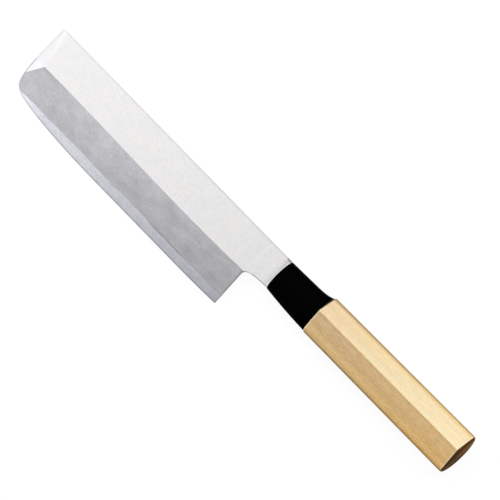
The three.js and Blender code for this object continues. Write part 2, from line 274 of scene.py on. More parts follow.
@dataclass(frozen=True)
class Bench:
    """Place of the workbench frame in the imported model's frame."""

    origin: Vector

    @classmethod
    def from_frame(cls) -> "Bench":
        """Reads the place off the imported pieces.

        Returns:
            The bench.
        """
        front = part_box("ferrule")[1].x
        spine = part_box("blade_iron")[0].y
        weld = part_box("blade_hard_steel")[1].z
        return cls(Vector((front, spine, weld)))

    def box(self, node: str) -> list[Vector]:
        """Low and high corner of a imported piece, in bench millimetres."""
        return [(corner - self.origin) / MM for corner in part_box(node)]

    def hand_over(self, piece: bpy.types.Object, node: str) -> None:
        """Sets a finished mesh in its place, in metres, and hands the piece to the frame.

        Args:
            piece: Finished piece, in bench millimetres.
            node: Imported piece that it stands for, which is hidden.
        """
        piece.data.transform(Matrix.Translation(self.origin) @ Matrix.Scale(MM, 4))
        piece.data.update()
        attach(piece, BODY)
        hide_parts(node)


def bake(piece: bpy.types.Object) -> None:
    """Turns a piece with its modifiers into a plain mesh.

    Args:
        piece: Piece that loses its modifiers.
    """
    graph = bpy.context.evaluated_depsgraph_get()
    mesh = bpy.data.meshes.new_from_object(
        piece.evaluated_get(graph), preserve_all_data_layers=True, depsgraph=graph
    )
    piece.modifiers.clear()
    rough = piece.data
    piece.data = mesh
    bpy.data.meshes.remove(rough)


def carve(piece: bpy.types.Object, tool: bpy.types.Object, cut: Cut) -> None:
    """Cuts or joins a piece with a tool body.

    Args:
        piece: Piece that is changed.
        tool: Closed body that changes it.
        cut: What the tool does.
    """
    modifier = piece.modifiers.new(cut.name, "BOOLEAN")
    modifier.operation = cut.value
    modifier.solver = "EXACT"
    modifier.object = tool
    bake(piece)


def discard(*tools: bpy.types.Object) -> None:
    """Takes tool bodies out of the scene."""
    for tool in tools:
        bpy.data.meshes.remove(tool.data)


def shown(name: str, data: bpy.types.ID) -> bpy.types.Object:
    """Makes an object of given data and links it to the scene.

    Args:
        name: Name of the object.
        data: Its mesh, camera or light.

    Returns:
        The object.
    """
    thing = bpy.data.objects.new(name, data)
    bpy.context.scene.collection.objects.link(thing)
    return thing


def piece_from(body: bmesh.types.BMesh, name: str) -> bpy.types.Object:
    """Makes a scene object of a mesh under work.

    Args:
        body: Mesh, which is freed.
        name: Name of the object.

    Returns:
        The new object, linked to the scene.
    """
    mesh = bpy.data.meshes.new(name)
    body.to_mesh(mesh)
    body.free()
    return shown(name, mesh)


def between(first: list[Vector], last: list[Vector]) -> bmesh.types.BMesh:
    """Closed mesh between two loops.

    Args:
        first: One loop.
        last: The other, with as many points and turning the same way.

    Returns:
        The mesh, with its faces pointing outwards.
    """
    body = bmesh.new()
    near = [body.verts.new(p) for p in first]
    far = [body.verts.new(p) for p in last]
    body.faces.new(near)
    body.faces.new(far)
    for i, vert in enumerate(near):
        body.faces.new((vert, near[i - 1], far[i - 1], far[i]))
    bmesh.ops.recalc_face_normals(body, faces=body.faces[:])
    return body


def bar(name: str, loops: list[list[Pair]], front: float, rear: float) -> bpy.types.Object:
    """Straight tool body along x.

    Args:
        name: Name of the body.
        loops: Outline at the front and at the rear, as y and z.
        front: Larger x.
        rear: Smaller x.

    Returns:
        The body as a scene object.
    """
    ends = ([Vector((x, *p)) for p in loop] for x, loop in zip((front, rear), loops))
    return piece_from(between(*ends), name)


def oblong(y: float, z: float, height: float, thickness: float) -> list[Pair]:
    """Oblong about a middle, as y and z of its corners."""
    return [(y + a * height / 2, z + b * thickness / 2) for a, b in SQUARE]


def grind(body: bmesh.types.BMesh, point: Vector, normal: Vector) -> None:
    """Takes off everything on the outer side of a plane and closes the cut with a face.

    Args:
        body: Closed mesh that is ground.
        point: Point on the plane.
        normal: Direction out of the body.
    """
    everything = [*body.verts, *body.edges, *body.faces]
    bmesh.ops.bisect_plane(
        body, geom=everything, dist=TINY, plane_co=point, plane_no=normal, clear_outer=True
    )
    rim = [e for e in body.edges if e.is_boundary]
    if rim:
        bmesh.ops.edgeloop_fill(body, edges=rim)


def plane_through(a: Vector, b: Vector, c: Vector, outside: Vector) -> tuple[Vector, Vector]:
    """Plane through three points, as a point and the normal that looks to a given side."""
    normal = (b - a).cross(c - a).normalized()
    return a, normal if normal.dot(outside) > 0 else -normal


def bend(
    piece: bpy.types.Object,
    line: Vector,
    stretch: float,
    slope: float,
    shift: Callable[[float, float], float],
) -> None:
    """Parts a straight line on a piece into short stretches and moves their ends within the surface.

    Args:
        piece: Piece with the line, which runs along x.
        line: Point of the line.
        stretch: Length of a stretch.
        slope: How far the surface falls for each millimetre along y.
        shift: Move along y, from a point's x and its share of the line.
    """
    body = bmesh.new()
    body.from_mesh(piece.data)

    def on_line(vert: bmesh.types.BMVert) -> bool:
        """Tells whether a point lies on the line."""
        return (vert.co - line).yz.length < SLACK

    for edge in [e for e in body.edges if all(on_line(v) for v in e.verts)]:
        cuts = int(edge.calc_length() / stretch)
        if cuts:
            bmesh.ops.subdivide_edges(body, edges=[edge], cuts=cuts)
    points = [v for v in body.verts if on_line(v)]
    start = min(v.co.x for v in points)
    end = max(v.co.x for v in points)
    for point in points:
        move = shift(point.co.x, (point.co.x - start) / (end - start))
        point.co.y += move
        point.co.z -= slope * move
    body.to_mesh(piece.data)
    body.free()


@dataclass(frozen=True)
class CrossGroundSteel:
    """Soft iron, wheel-ground and polished: a bright face with a fine grit and faint upright lines.

    Spine, ridge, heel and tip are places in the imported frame, in metres. Widths and lengths are
    millimetres, a spread gives the values of a pattern between which it takes effect, and the grit's
    lift is the share of its depth by which it also lightens the face.
    """

    spine: float
    ridge: float
    heel: float
    tip: float
    name: str = "soft_iron_cross_ground"
    cool: str = "C0BFC1"
    warm: str = "C4C2C0"
    tint_spread: Pair = (0.35, 0.65)
    roughness: Pair = (0.25, 0.36)
    rough_spread: Pair = (0.25, 0.75)
    spread: Pair = (0.3, 0.7)
    line_width: float = 0.45
    line_length: float = 22.0
    line_depth: float = 0.03
    line_height: float = 0.02
    relief: float = 0.025
    grit: float = 0.55
    grit_depth: float = 0.11
    grit_lift: float = 1 / 3
    grit_end: Pair = (16.0, 9.0)
    cloud: float = 5.0
    painted_heel_shade: float = 0.93
    ridge_tone: float = 1.05
    ridge_line: float = 0.7
    seat: float = 4.5
    seat_fade: float = 9.0
    seat_depths: Pair = (1.0, 0.4)
    seat_tones: Stops = ((0.14, "FFFFFF"), (0.34, "D8D6D6"), (0.55, "E4E2E2"), (0.85, "FFFFFF"))
    broken_edge: Pair = (0.99, 0.72)
    painted_edge_shade: float = 0.82

    def material(self) -> bpy.types.Material:
        """Builds the node material.

        Returns:
            The material.
        """
        skin = Surface(self.name)
        tree = skin.tree
        # The wheel's scratches run from spine to edge. Real ones are too fine to show, so they are
        # drawn about half a millimetre wide.
        lines = skin.marks(self.line_width, self.line_length, detail=3.0, roughness=0.6)
        cloud = skin.marks(self.cloud, detail=3.0, roughness=0.6)
        grit = skin.marks(self.grit, detail=1.0, roughness=0.7)
        colour = add(tree, "ShaderNodeValToRGB", (cloud,), zip(self.tint_spread, (self.cool, self.warm)))
        # Near the ferrule the neck gets a grey line, deepest at the spine.
        seat = add(tree, "ShaderNodeMapRange", (skin.x, self.heel, self.heel + self.seat * MM))
        line = add(tree, "ShaderNodeValToRGB", (seat,), self.seat_tones)
        fade = (self.spine, self.spine + self.seat_fade * MM)
        depth = add(tree, "ShaderNodeMapRange", (skin.y, *fade, *self.seat_depths))
        colour = add(
            tree, "ShaderNodeMix", (depth, colour, line), data_type="RGBA", blend_type=Blend.STAIN.value
        )
        # The grit ends where the face rolls over to the tip.
        light = self.grit_depth * self.grit_lift
        smooth = add(tree, "ShaderNodeVectorMath", (colour, 1 - light), operation="SCALE")
        coarse = skin.toned(colour, grit, self.spread, (1 - self.grit_depth, 1 + light))
        colour = skin.covered(coarse, smooth, skin.x, [self.tip - reach * MM for reach in self.grit_end])
        # The face gets painted shade towards the heel and a painted highlight just above the ridge line.
        for value, ends, tones in (
            (lines, self.spread, (1 - self.line_depth, 1.0)),
            (skin.x, (self.heel, self.tip), (self.painted_heel_shade, 1.0)),
            (skin.y, (self.ridge - self.ridge_line * MM, self.ridge), (1.0, self.ridge_tone)),
        ):
            colour = skin.toned(colour, value, ends, tones)
        # The broken edge of the spine is darker towards the heel: painted shade.
        dull = skin.toned(colour, skin.x, (self.heel, self.tip), (self.painted_edge_shade, 1.0))
        edge = [self.spine + reach * MM for reach in self.broken_edge]
        return skin.finished({
            "Metallic": 1.0,
            "Base Color": skin.covered(colour, dull, skin.y, edge),
            "Roughness": add(tree, "ShaderNodeMapRange", (lines, *self.rough_spread, *self.roughness)),
            "Normal": add(tree, "ShaderNodeBump", {
                "Strength": self.relief, "Distance": self.line_height * MM, "Height": lines,
            }),
        })


@dataclass(frozen=True, kw_only=True)
class BevelFinish:
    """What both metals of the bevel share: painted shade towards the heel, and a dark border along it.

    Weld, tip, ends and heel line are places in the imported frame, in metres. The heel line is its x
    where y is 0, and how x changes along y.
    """

    weld: float
    tip: float
    ends: Pair
    heel_line: Pair
    painted_heel_shade: float
    front_tone: float = 0.985
    border_tone: float
    border: float = 1.2
    spread: Pair
    shade: str
    colour: str

    def painted_light(self, skin: Surface, colour: Socket) -> Socket:
        """Tones a colour from heel to tip as painted shade, and darkens it along the heel.

        Args:
            skin: Material under work.
            colour: Socket of the colour.

        Returns:
            The socket of the toned colour.
        """
        start, lean = self.heel_line
        colour = skin.toned(colour, skin.x, self.ends, (self.painted_heel_shade, self.front_tone))
        inside = add(skin.tree, "ShaderNodeMath", (skin.y, -lean, skin.x), operation="MULTIPLY_ADD")
        return skin.toned(colour, inside, (start, start + self.border * MM), (self.border_tone, 1.0))


@dataclass(frozen=True, kw_only=True)
class MistedIron(BevelFinish):
    """Soft iron rubbed dull with stone powder: a cloudy grey that hardly mirrors."""

    ridge: float
    painted_heel_shade: float = 0.875
    border_tone: float = 0.78
    spread: Pair = (0.36, 0.64)
    shade: str = "A3A3A6"
    colour: str = "BAB9BD"
    weld_colour: str = "BDBEC4"
    roughness: float = 0.46
    weld_roughness: float = 0.39
    cloud_length: float = 9.0
    cloud_width: float = 5.5
    grit: float = 0.6
    grit_share: float = 0.56
    grit_height: float = 0.02
    relief: float = 0.08
    ridge_tone: float = 0.93
    ridge_line: float = 0.6
    haze: float = 1.9
    haze_ends: Pair = (0.2, 1.2)
    tip_reach: Pair = (8.0, 45.0)
    painted_ridge_light: Pair = (0.95, 1.1)
    painted_weld_light: Pair = (1.04, 0.95)

    def material(self) -> bpy.types.Material:
        """Builds the node material.

        Returns:
            The material.
        """
        skin = Surface("soft_iron_stone_misted")
        tree = skin.tree
        cloud = skin.marks(self.cloud_length, self.cloud_width, detail=3.0)
        grit = skin.marks(self.grit, detail=1.0, roughness=0.6)
        mottle = add(tree, "ShaderNodeMix", (self.grit_share, cloud, grit))
        colour = add(tree, "ShaderNodeValToRGB", (mottle,), zip(self.spread, (self.shade, self.colour)))
        # Just under the ridge line the face is darker.
        trace = (self.ridge, self.ridge + self.ridge_line * MM)
        colour = skin.toned(colour, skin.y, trace, (self.ridge_tone, 1.0))
        # Painted reflection: the face is brighter near the ridge, but at the tip near the weld.
        reach = [self.tip - length * MM for length in self.tip_reach]
        tones = [
            add(tree, "ShaderNodeMapRange", (skin.x, *reach, *pair))
            for pair in (self.painted_ridge_light, self.painted_weld_light)
        ]
        colour = skin.toned(colour, skin.y, (self.ridge, self.weld), tones)
        # Towards the weld the mist clears, unevenly.
        ragged = add(tree, "ShaderNodeMath", (cloud, self.haze * MM, skin.y), operation="MULTIPLY_ADD")
        ends = [self.weld + share * self.haze * MM for share in self.haze_ends]
        clear = add(tree, "ShaderNodeMapRange", (ragged, *ends), interpolation_type="SMOOTHSTEP")
        colour = add(tree, "ShaderNodeMix", (clear, colour, linear(self.weld_colour)), data_type="RGBA")
        return skin.finished({
            "Metallic": 1.0,
            "Base Color": self.painted_light(skin, colour),
            "Roughness": add(tree, "ShaderNodeMix", (clear, self.roughness, self.weld_roughness)),
            "Normal": add(tree, "ShaderNodeBump", {
                "Strength": self.relief, "Distance": self.grit_height * MM, "Height": grit,
            }),
        })


@dataclass(frozen=True, kw_only=True)
class HonedSteel(BevelFinish):
    """Hard carbon steel honed on a fine whetstone: smoother and bluer than the iron above it."""

    painted_heel_shade: float = 0.83
    border_tone: float = 0.8
    spread: Pair = (0.43, 0.57)
    shade: str = "B7B8C1"
    colour: str = "C8C9CE"
    roughness: float = 0.32
    weld_roughness: float = 0.38
    haze: float = 1.6
    painted_tip_light: float = 1.4
    tip_reach: float = 26.0
    cloud: float = 5.0
    cloud_share: float = 0.6
    grit: float = 0.55
    grit_share: float = 0.55
    scratch_width: float = 0.6
    scratch_length: float = 14.0
    scratch_turn: float = 6.0

    def material(self) -> bpy.types.Material:
        """Builds the node material.

        Returns:
            The material.
        """
        skin = Surface("hard_steel_honed")
        tree = skin.tree
        # Honing scratches lie along the edge, a little slanted; drawn coarser than real ones.
        scratch = skin.marks(self.scratch_length, self.scratch_width, turn=self.scratch_turn)
        cloud = skin.marks(self.cloud, detail=3.0, roughness=0.6)
        grit = skin.marks(self.grit, detail=1.0, roughness=0.6)
        mottle = add(tree, "ShaderNodeMix", (self.cloud_share, scratch, cloud))
        mottle = add(tree, "ShaderNodeMix", (self.grit_share, mottle, grit))
        colour = add(tree, "ShaderNodeValToRGB", (mottle,), zip(self.spread, (self.shade, self.colour)))
        # It is brighter at the tip, a painted reflection, and is smoother away from the weld.
        tip = (self.tip - self.tip_reach * MM, self.tip)
        colour = skin.toned(colour, skin.x, tip, (1.0, self.painted_tip_light))
        haze = (self.weld, self.weld + self.haze * MM)
        rough = add(tree, "ShaderNodeMapRange", (skin.y, *haze, self.weld_roughness, self.roughness))
        return skin.finished({"Metallic": 1.0, "Base Color": self.painted_light(skin, colour), "Roughness": rough})


@dataclass(frozen=True)
class FiledIron:
    """Soft iron left from the file on the narrow faces round the blade: darker and dull."""

    shade: str = "77777A"
    colour: str = "8C8C8E"
    spread: Pair = (0.3, 0.7)
    roughness: float = 0.42
    mark: float = 0.5

    def material(self) -> bpy.types.Material:
        """Builds the node material.

        Returns:
            The material.
        """
        skin = Surface("soft_iron_filed")
        marks = skin.marks(self.mark, detail=3.0)
        colour = add(skin.tree, "ShaderNodeValToRGB", (marks,), zip(self.spread, (self.shade, self.colour)))
        return skin.finished({"Metallic": 1.0, "Roughness": self.roughness, "Base Color": colour})


@dataclass(frozen=True)
class BlackHorn:
    """Black buffalo horn, turned and satin-sanded: almost no light comes back from it."""

    colour: str = "020102"
    streak_colour: str = "040304"
    spread: Pair = (0.4, 0.75)
    roughness: Pair = (0.44, 0.56)
    rough_spread: Pair = (0.3, 0.7)
    shine: float = 0.008
    streak_width: float = 1.2
    streak_length: float = 14.0

    def material(self) -> bpy.types.Material:
        """Builds the node material.

        Returns:
            The material.
        """
        skin = Surface("black_horn_satin")
        tree = skin.tree
        streak = skin.marks(self.streak_length, self.streak_width, detail=3.0)
        stops = zip(self.spread, (self.colour, self.streak_colour))
        return skin.finished({
            "Base Color": add(tree, "ShaderNodeValToRGB", (streak,), stops),
            "Roughness": add(tree, "ShaderNodeMapRange", (streak, *self.rough_spread, *self.roughness)),
            "Specular IOR Level": self.shine,
        })


@dataclass(frozen=True)
class Magnolia:
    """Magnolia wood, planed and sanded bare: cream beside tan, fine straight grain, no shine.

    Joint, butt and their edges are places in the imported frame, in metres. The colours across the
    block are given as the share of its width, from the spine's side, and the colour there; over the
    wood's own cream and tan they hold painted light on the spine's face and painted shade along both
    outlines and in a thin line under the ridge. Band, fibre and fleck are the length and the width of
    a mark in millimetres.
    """

    joint: float
    butt: float
    joint_edges: Pair
    butt_edges: Pair
    joint_colours_and_painted_light: Stops = (
        (0.0, "A88146"), (0.035, "CDB384"), (0.09, "F1DFB9"), (0.22, "EAD7B0"), (0.441, "EDE1C3"),
        (0.458, "CFB68C"), (0.53, "DDC8A6"), (0.7, "E0C191"), (0.8, "E7CE9F"), (0.965, "E7C88F"),
        (1.0, "9E7E46"),
    )
    butt_colours_and_painted_light: Stops = (
        (0.0, "A0844E"), (0.03, "DDBE7E"), (0.07, "F3DDAD"), (0.16, "F9EBC5"), (0.441, "F6E8C5"),
        (0.458, "D6BB87"), (0.53, "E4C997"), (0.7, "E2C18B"), (0.81, "DCB77A"), (0.86, "E8C588"),
        (0.965, "E4BC73"), (1.0, "A88044"),
    )
    joint_tone: float = 1.135
    butt_tone: float = 1.235
    lean: float = 2.0
    band: Pair = (80.0, 2.2)
    band_spread: Pair = (0.35, 0.65)
    band_depth: float = 0.1
    amber: str = "E6B66C"
    amber_spread: Pair = (0.52, 0.68)
    amber_depth: float = 0.3
    stain: str = "E6DACA"
    fibre: Pair = (5.0, 0.5)
    fibre_depth: float = 0.55
    fibre_height: float = 0.03
    relief: float = 0.12
    fleck: Pair = (0.7, 0.45)
    fleck_depth: float = 0.75
    figure: Pair = (0.25, 0.11)
    ridge_share: Pair = (0.44, 0.46)
    # Pale of the front chamfer: a painted highlight.
    cut: str = "F4E3C2"
    chamfer_highlight_depth: float = 0.7
    chamfer_highlight_reach: Pair = (0.96, 0.64)
    # Dark of the seam at the ferrule: a painted shadow.
    seam: str = "33230F"
    seam_shadow_depth: float = 0.9
    seam_widths: Pair = (1.1, 0.05)
    seam_reach: float = 0.75
    seam_blur: float = 0.1
    # Pale of the butt's edge: a painted highlight.
    painted_light: str = "FFEFD0"
    butt_highlight_depth: float = 0.35
    butt_highlight_reach: Pair = (0.8, 0.4)
    roughness: float = 0.62
    shine: float = 0.2

    def material(self) -> bpy.types.Material:
        """Builds the node material.

        Returns:
            The material.
        """
        skin = Surface("magnolia_sanded")
        tree = skin.tree
        length = (self.butt, self.joint)
        band, fibre, fleck = (
            skin.marks(*sizes, roughness=0.6, turn=self.lean)
            for sizes in (self.band, self.fibre, self.fleck)
        )
        # Share of the width: the block tapers, so its two sides are worked out first.
        sides = [
            add(tree, "ShaderNodeMapRange", (skin.x, *length, *pair))
            for pair in zip(self.butt_edges, self.joint_edges)
        ]
        share = add(tree, "ShaderNodeMapRange", (skin.y, *sides))
        # Across the block: painted light on the spine's face, painted shade along both outlines and under
        # the ridge.
        rear, front = (
            add(tree, "ShaderNodeValToRGB", (share,), stops)
            for stops in (self.butt_colours_and_painted_light, self.joint_colours_and_painted_light)
        )
        colour = skin.covered(rear, front, skin.x, length)
        colour = skin.covered(colour, linear(self.amber), band, self.amber_spread, self.amber_depth)
        # Fibres and flecks are darker and more amber, like a thin stain; they are harder below the ridge.
        figure = add(tree, "ShaderNodeMapRange", (share, *self.ridge_share, *self.figure))
        ends = [
            add(tree, "ShaderNodeMath", (NOISE_MIDDLE, figure), operation=sign)
            for sign in ("ADD", "SUBTRACT")
        ]
        for value, depth in ((fibre, self.fibre_depth), (fleck, self.fleck_depth)):
            colour = skin.covered(colour, linear(self.stain), value, ends, depth, Blend.STAIN)
        # The front chamfer is pale, a painted highlight; the seam at the ferrule is dark and wider towards
        # the spine, a painted shadow; and the edge of the butt is pale, a painted highlight.
        widths = [self.joint - width * MM for width in self.seam_widths]
        seam = add(tree, "ShaderNodeMapRange", (share, 0.0, self.seam_reach, *widths))
        seam_end = add(tree, "ShaderNodeMath", (seam, self.seam_blur * MM), operation="ADD")
        for other, ends, depth in (
            (self.cut, [self.joint - reach * MM for reach in self.chamfer_highlight_reach], self.chamfer_highlight_depth),
            (self.seam, (seam, seam_end), self.seam_shadow_depth),
            (self.painted_light, [self.butt + reach * MM for reach in self.butt_highlight_reach], self.butt_highlight_depth),
        ):
            colour = skin.covered(colour, linear(other), skin.x, ends, depth)
        colour = skin.toned(colour, band, self.band_spread, (1 - self.band_depth, 1.0))
        return skin.finished({
            "Base Color": skin.toned(colour, skin.x, length, (self.butt_tone, self.joint_tone)),
            "Roughness": self.roughness,
            "Specular IOR Level": self.shine,
            "Normal": add(tree, "ShaderNodeBump", {
                "Strength": self.relief, "Distance": self.fibre_height * MM, "Height": fibre,
            }),
        })


@dataclass(frozen=True)
class EndGrain:
    """Cut end of the wood: brown, with groups of years' rings across it.

    Its dark is partly the end grain's own and partly painted shade. Sides are the two places along y,
    in metres, between which the tone changes: lighter on the spine's side as painted light, darker on
    the edge's side as painted shade.
    """

    sides: Pair
    painted_side_light: Pair = (1.42, 0.72)
    shade: str = "6A421E"
    colour: str = "9C7242"
    spread: Pair = (0.34, 0.66)
    roughness: float = 0.7
    shine: float = 0.02
    rings: float = 15.08
    ring_share: float = 0.5
    pore: float = 0.8
    ray: float = 3.2

    def material(self) -> bpy.types.Material:
        """Builds the node material.

        Returns:
            The material.
        """
        skin = Surface("magnolia_end_grain")
        tree = skin.tree
        rings = add(tree, "ShaderNodeTexWave", {
            "Vector": skin.place,
            "Scale": 2 * math.pi / (self.rings * MM) / WAVE_RATE,
            "Distortion": 3.0,
            "Detail": 2.0,
            "Detail Scale": 1.5,
        }, wave_type="BANDS", bands_direction="Z").node.outputs["Fac"]
        pores = skin.marks(self.pore, self.pore, self.ray, roughness=0.6)
        tone = add(tree, "ShaderNodeMix", (self.ring_share, rings, pores))
        colour = add(tree, "ShaderNodeValToRGB", (tone,), zip(self.spread, (self.shade, self.colour)))
        # The spine's side is painted lighter and the edge's side darker: painted light and shade.
        return skin.finished({
            "Base Color": skin.toned(colour, skin.y, self.sides, self.painted_side_light),
            "Roughness": self.roughness,
            "Specular IOR Level": self.shine,
        })


@dataclass(frozen=True)
class PineResin:
    """Pine resin melted in and set: brown, glassy, with dust in it."""

    shade: str = "4A2D14"
    colour: str = "6B4521"
    spread: Pair = (0.3, 0.7)
    roughness: float = 0.25
    cloud: float = 1.5

    def material(self) -> bpy.types.Material:
        """Builds the node material.

        Returns:
            The material.
        """
        skin = Surface("pine_resin_set")
        cloud = skin.marks(self.cloud, detail=4.0)
        colour = add(skin.tree, "ShaderNodeValToRGB", (cloud,), zip(self.spread, (self.shade, self.colour)))
        return skin.finished({"Roughness": self.roughness, "Base Color": colour})


@dataclass
class Blade:
    """The laminated blade: soft iron with neck and tang, and the hard steel plate under it.

    Sizes are millimetres, angles degrees. The corner's and the belly's reach give the handles of a
    curve as shares of its span, and each weld wave its share, length and phase. Steep, alike and
    upward are the cosines by which the zones of the faces are told apart.
    """

    bench: Bench
    neck_height: float = 19.2
    neck_rise: float = 1.42
    neck_waist: float = 5.0
    neck_ease: float = 0.37
    notch_radius: float = 3.4
    notch_reach: float = 5.3
    heel_setback: float = 14.1
    heel_lean: float = 1.7
    heel_corner: float = 0.8
    heel_rise: float = 0.6
    heel_rise_length: float = 32.0
    tip_setback: float = 1.2
    tip_corner_height: float = 13.5
    tip_corner_length: float = 11.3
    tip_corner_lean: float = 13.0
    tip_corner_rise: float = 3.6
    tip_corner_reach: Pair = (0.55, 0.78)
    belly_length: float = 60.0
    belly_angle: float = 12.0
    belly_reach: Pair = (0.11, 0.45)
    flat_height: float = 22.3
    flat_fall: float = 0.3
    edge_land: float = 0.15
    spine_chamfer: float = 0.9
    spine_drop: float = 0.42
    neck_chamfer: float = 1.5
    neck_chamfer_drop: float = 0.75
    neck_chamfer_length: float = 3.0
    eased_width: float = 0.7
    eased_angle: float = 17.0
    ridge_bow: tuple[float, ...] = (-0.42, -0.8, 1.45, -0.45)
    ridge_stretch: float = 2.58
    facet_length: float = 7.6
    facet_drop: float = 1.3
    facet_corner: float = 3.1
    roll_length: float = 3.0
    roll_steps: int = 16
    tip_bevel_angle: float = 58.0
    hollow_depth: float = 0.3
    hollow_rim: float = 2.0
    hollow_end: float = 6.0
    hollow_end_power: int = 8
    hollow_steps: tuple[int, int] = (110, 36)
    steel_setback: float = 4.7
    weld_wave: float = 0.35
    weld_waves: tuple[tuple[float, float, float], ...] = (
        (0.55, 47.0, 0.4), (0.3, 17.0, 2.1), (0.15, 7.3, 4.0),
    )
    weld_drift: float = -0.5
    weld_fade: float = 12.0
    weld_steps: int = 150
    tang_shoulder: float = 5.0
    tang_thinning: float = 0.4
    tang_end_height: float = 4.6
    tang_end_thickness: float = 2.4
    tang_lift: float = 0.8
    painted_shade_reach: Pair = (20.0, 135.0)
    steep: float = 0.5
    alike: float = 0.9999
    upward: float = 0.4

    def __post_init__(self) -> None:
        """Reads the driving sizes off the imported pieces."""
        low, high = self.bench.box("blade_iron")
        steel_low, steel_high = self.bench.box("blade_hard_steel")
        self.length = high.x
        self.height = steel_high.y
        self.spine_level = high.z
        self.back_level = steel_low.z
        self.tang_length = -low.x
        self.ridge_level = self.spine_level - self.flat_fall
        self.land_level = self.back_level + self.edge_land
        self.tip_straight = self.height - self.tip_corner_height
        self.bevel_slope = (self.ridge_level - self.land_level) / (self.height - self.flat_height)
        self.weld_line = self.flat_height + self.ridge_level / self.bevel_slope

    def tip_rim(self) -> list[Pair]:
        """Rounded tip corner and the belly behind it.

        Returns:
            Points from the front to the straight edge.
        """
        start = (self.length - self.tip_setback, self.tip_straight)
        end = (self.length - self.tip_corner_length, self.height - self.tip_corner_rise)
        lean = math.tan(math.radians(self.tip_corner_lean))
        slope = math.tan(math.radians(self.belly_angle))
        drop = self.tip_corner_reach[0] * (end[1] - start[1])
        reach = self.tip_corner_reach[1] * (start[0] - end[0])
        tail, run = (share * self.belly_length for share in self.belly_reach)
        corner = curve(
            start, (start[0] - lean * drop, start[1] + drop), (end[0] + reach, end[1] - slope * reach), end,
        )
        belly = curve(
            end,
            (end[0] - tail, end[1] + slope * tail),
            (end[0] - run, self.height),
            (end[0] - self.belly_length, self.height),
        )
        return corner + belly[1:]

    def outline(self) -> tuple[list[Pair], int]:
        """Plan of blade and neck.

        Returns:
            Points from the spine over the ferrule's front round to the neck's lower side, and the
            number of the point where the edge runs into the rounded heel.
        """
        rise_start = (self.heel_setback + self.heel_rise_length, self.height)
        rise_bend = Vector((self.heel_setback + self.heel_rise_length / 2, self.height))
        heel = Vector((self.heel_setback, self.height - self.heel_rise))
        notch = Vector((self.heel_setback + self.heel_lean, self.neck_height + self.neck_rise))
        waist = Vector((self.neck_waist, self.neck_height))
        heel_start = heel + (rise_bend - heel).normalized() * self.heel_corner
        heel_end = heel + (notch - heel).normalized() * self.heel_corner
        notch_start = notch + (heel - notch).normalized() * self.notch_radius
        notch_end = notch + (waist - notch).normalized() * self.notch_reach
        rim = self.tip_rim()
        edge = [
            (0.0, 0.0),
            *curve((self.length, 0.0), (self.length, self.tip_straight / 2), rim[0], steps=16)[:-1],
            *rim,
            *curve(rise_start, rise_bend, heel_start, steps=24),
        ]
        return [
            *edge,
            *curve(heel_start, heel, heel_end, steps=12)[1:],
            *curve(notch_start, notch, notch_end, steps=24),
            *curve(notch_end, waist, (0.0, self.neck_height), steps=12)[1:],
        ], len(edge) - 1

    def facet_corners(self) -> list[Vector]:
        """Three corners of the tip facet: end of the ridge line, on the spine, and on the front."""
        return [
            Vector((self.length - self.facet_length, self.flat_height, self.ridge_level)),
            Vector((self.length - self.facet_corner, 0.0, self.spine_level)),
            Vector((self.length - self.tip_setback, self.tip_straight, self.ridge_level - self.facet_drop)),
        ]

    def facet_plane(self) -> tuple[Vector, Vector]:
        """Plane of the tip facet, through the end of the ridge line."""
        return plane_through(*self.facet_corners(), UP)

    def neck_plane(self) -> tuple[Vector, Vector]:
        """Plane of the corner filed off the spine where the neck goes into the ferrule."""
        return plane_through(
            Vector((self.neck_chamfer_length, self.spine_chamfer, self.spine_level)),
            Vector((0, self.neck_chamfer, self.spine_level)),
            Vector((0, 0, self.spine_level - self.neck_chamfer_drop)),
            Vector((0, -1, 1)),
        )

    def surface(self, x: float, y: float) -> float:
        """Level of the ground face over a place.

        Args:
            x: Place along the blade.
            y: Place across it.

        Returns:
            Level of the flat, the bevel or the tip facet, whichever is lowest.
        """
        point, normal = self.facet_plane()
        facet = point.z - (normal.x * (x - point.x) + normal.y * (y - point.y)) / normal.z
        flat = self.spine_level - self.flat_fall * y / self.flat_height
        bevel = self.ridge_level - self.bevel_slope * (y - self.flat_height)
        return min(flat, bevel, facet)

    def heel_border(self) -> Pair:
        """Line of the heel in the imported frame, in metres.

        Returns:
            The line's x where y is 0, and how x changes along y.
        """
        lean = -self.heel_lean / (self.height - self.neck_height - self.neck_rise)
        start = self.bench.origin.x + (self.heel_setback - lean * self.height) * MM
        return start - lean * self.bench.origin.y, lean

    def grind_facet(self, body: bmesh.types.BMesh) -> None:
        """Grinds the tip facet, with a soft roll that fans out from the end of the ridge line.

        Args:
            body: Mesh that is ground.
        """
        normal = self.facet_plane()[1]
        apex, crossing, _ = self.facet_corners()
        back = crossing - Vector((self.roll_length, 0.0, 0.0))
        front = crossing + Vector((self.roll_length, 0.0, -self.roll_length * normal.x / normal.z))
        for step in range(self.roll_steps + 1):
            share = step / self.roll_steps
            grind(body, *plane_through(apex, back.lerp(crossing, share), crossing.lerp(front, share), UP))

    def grind_along(self, body: bmesh.types.BMesh, rim: list[Vector], angle: float) -> None:
        """Grinds a bevel along a run of points.

        Args:
            body: Mesh that is ground.
            rim: Lower border of the bevel, with the blade on its left.
            angle: Tilt of the bevel from the blade's plane.
        """
        rise = math.tan(math.radians(angle))
        for start, end in zip(rim, rim[1:]):
            inwards = Vector((start.y - end.y, end.x - start.x, 0.0)).normalized()
            grind(body, *plane_through(start, end, start + inwards + rise * UP, -inwards))

    def ease_neck(self, body: bmesh.types.BMesh) -> None:
        """Files a narrow slope along the lower side of the neck, up to the notch.

        Args:
            body: Mesh that is filed.
        """
        rim = [
            e for e in body.edges
            if all(
                v.co.x < self.heel_setback - self.notch_radius
                and v.co.z > self.ridge_level
                and self.neck_height / 2 < v.co.y < self.flat_height
                for v in e.verts
            )
        ]
        bmesh.ops.bevel(body, geom=rim, offset=self.neck_ease, segments=1, affect="EDGES")

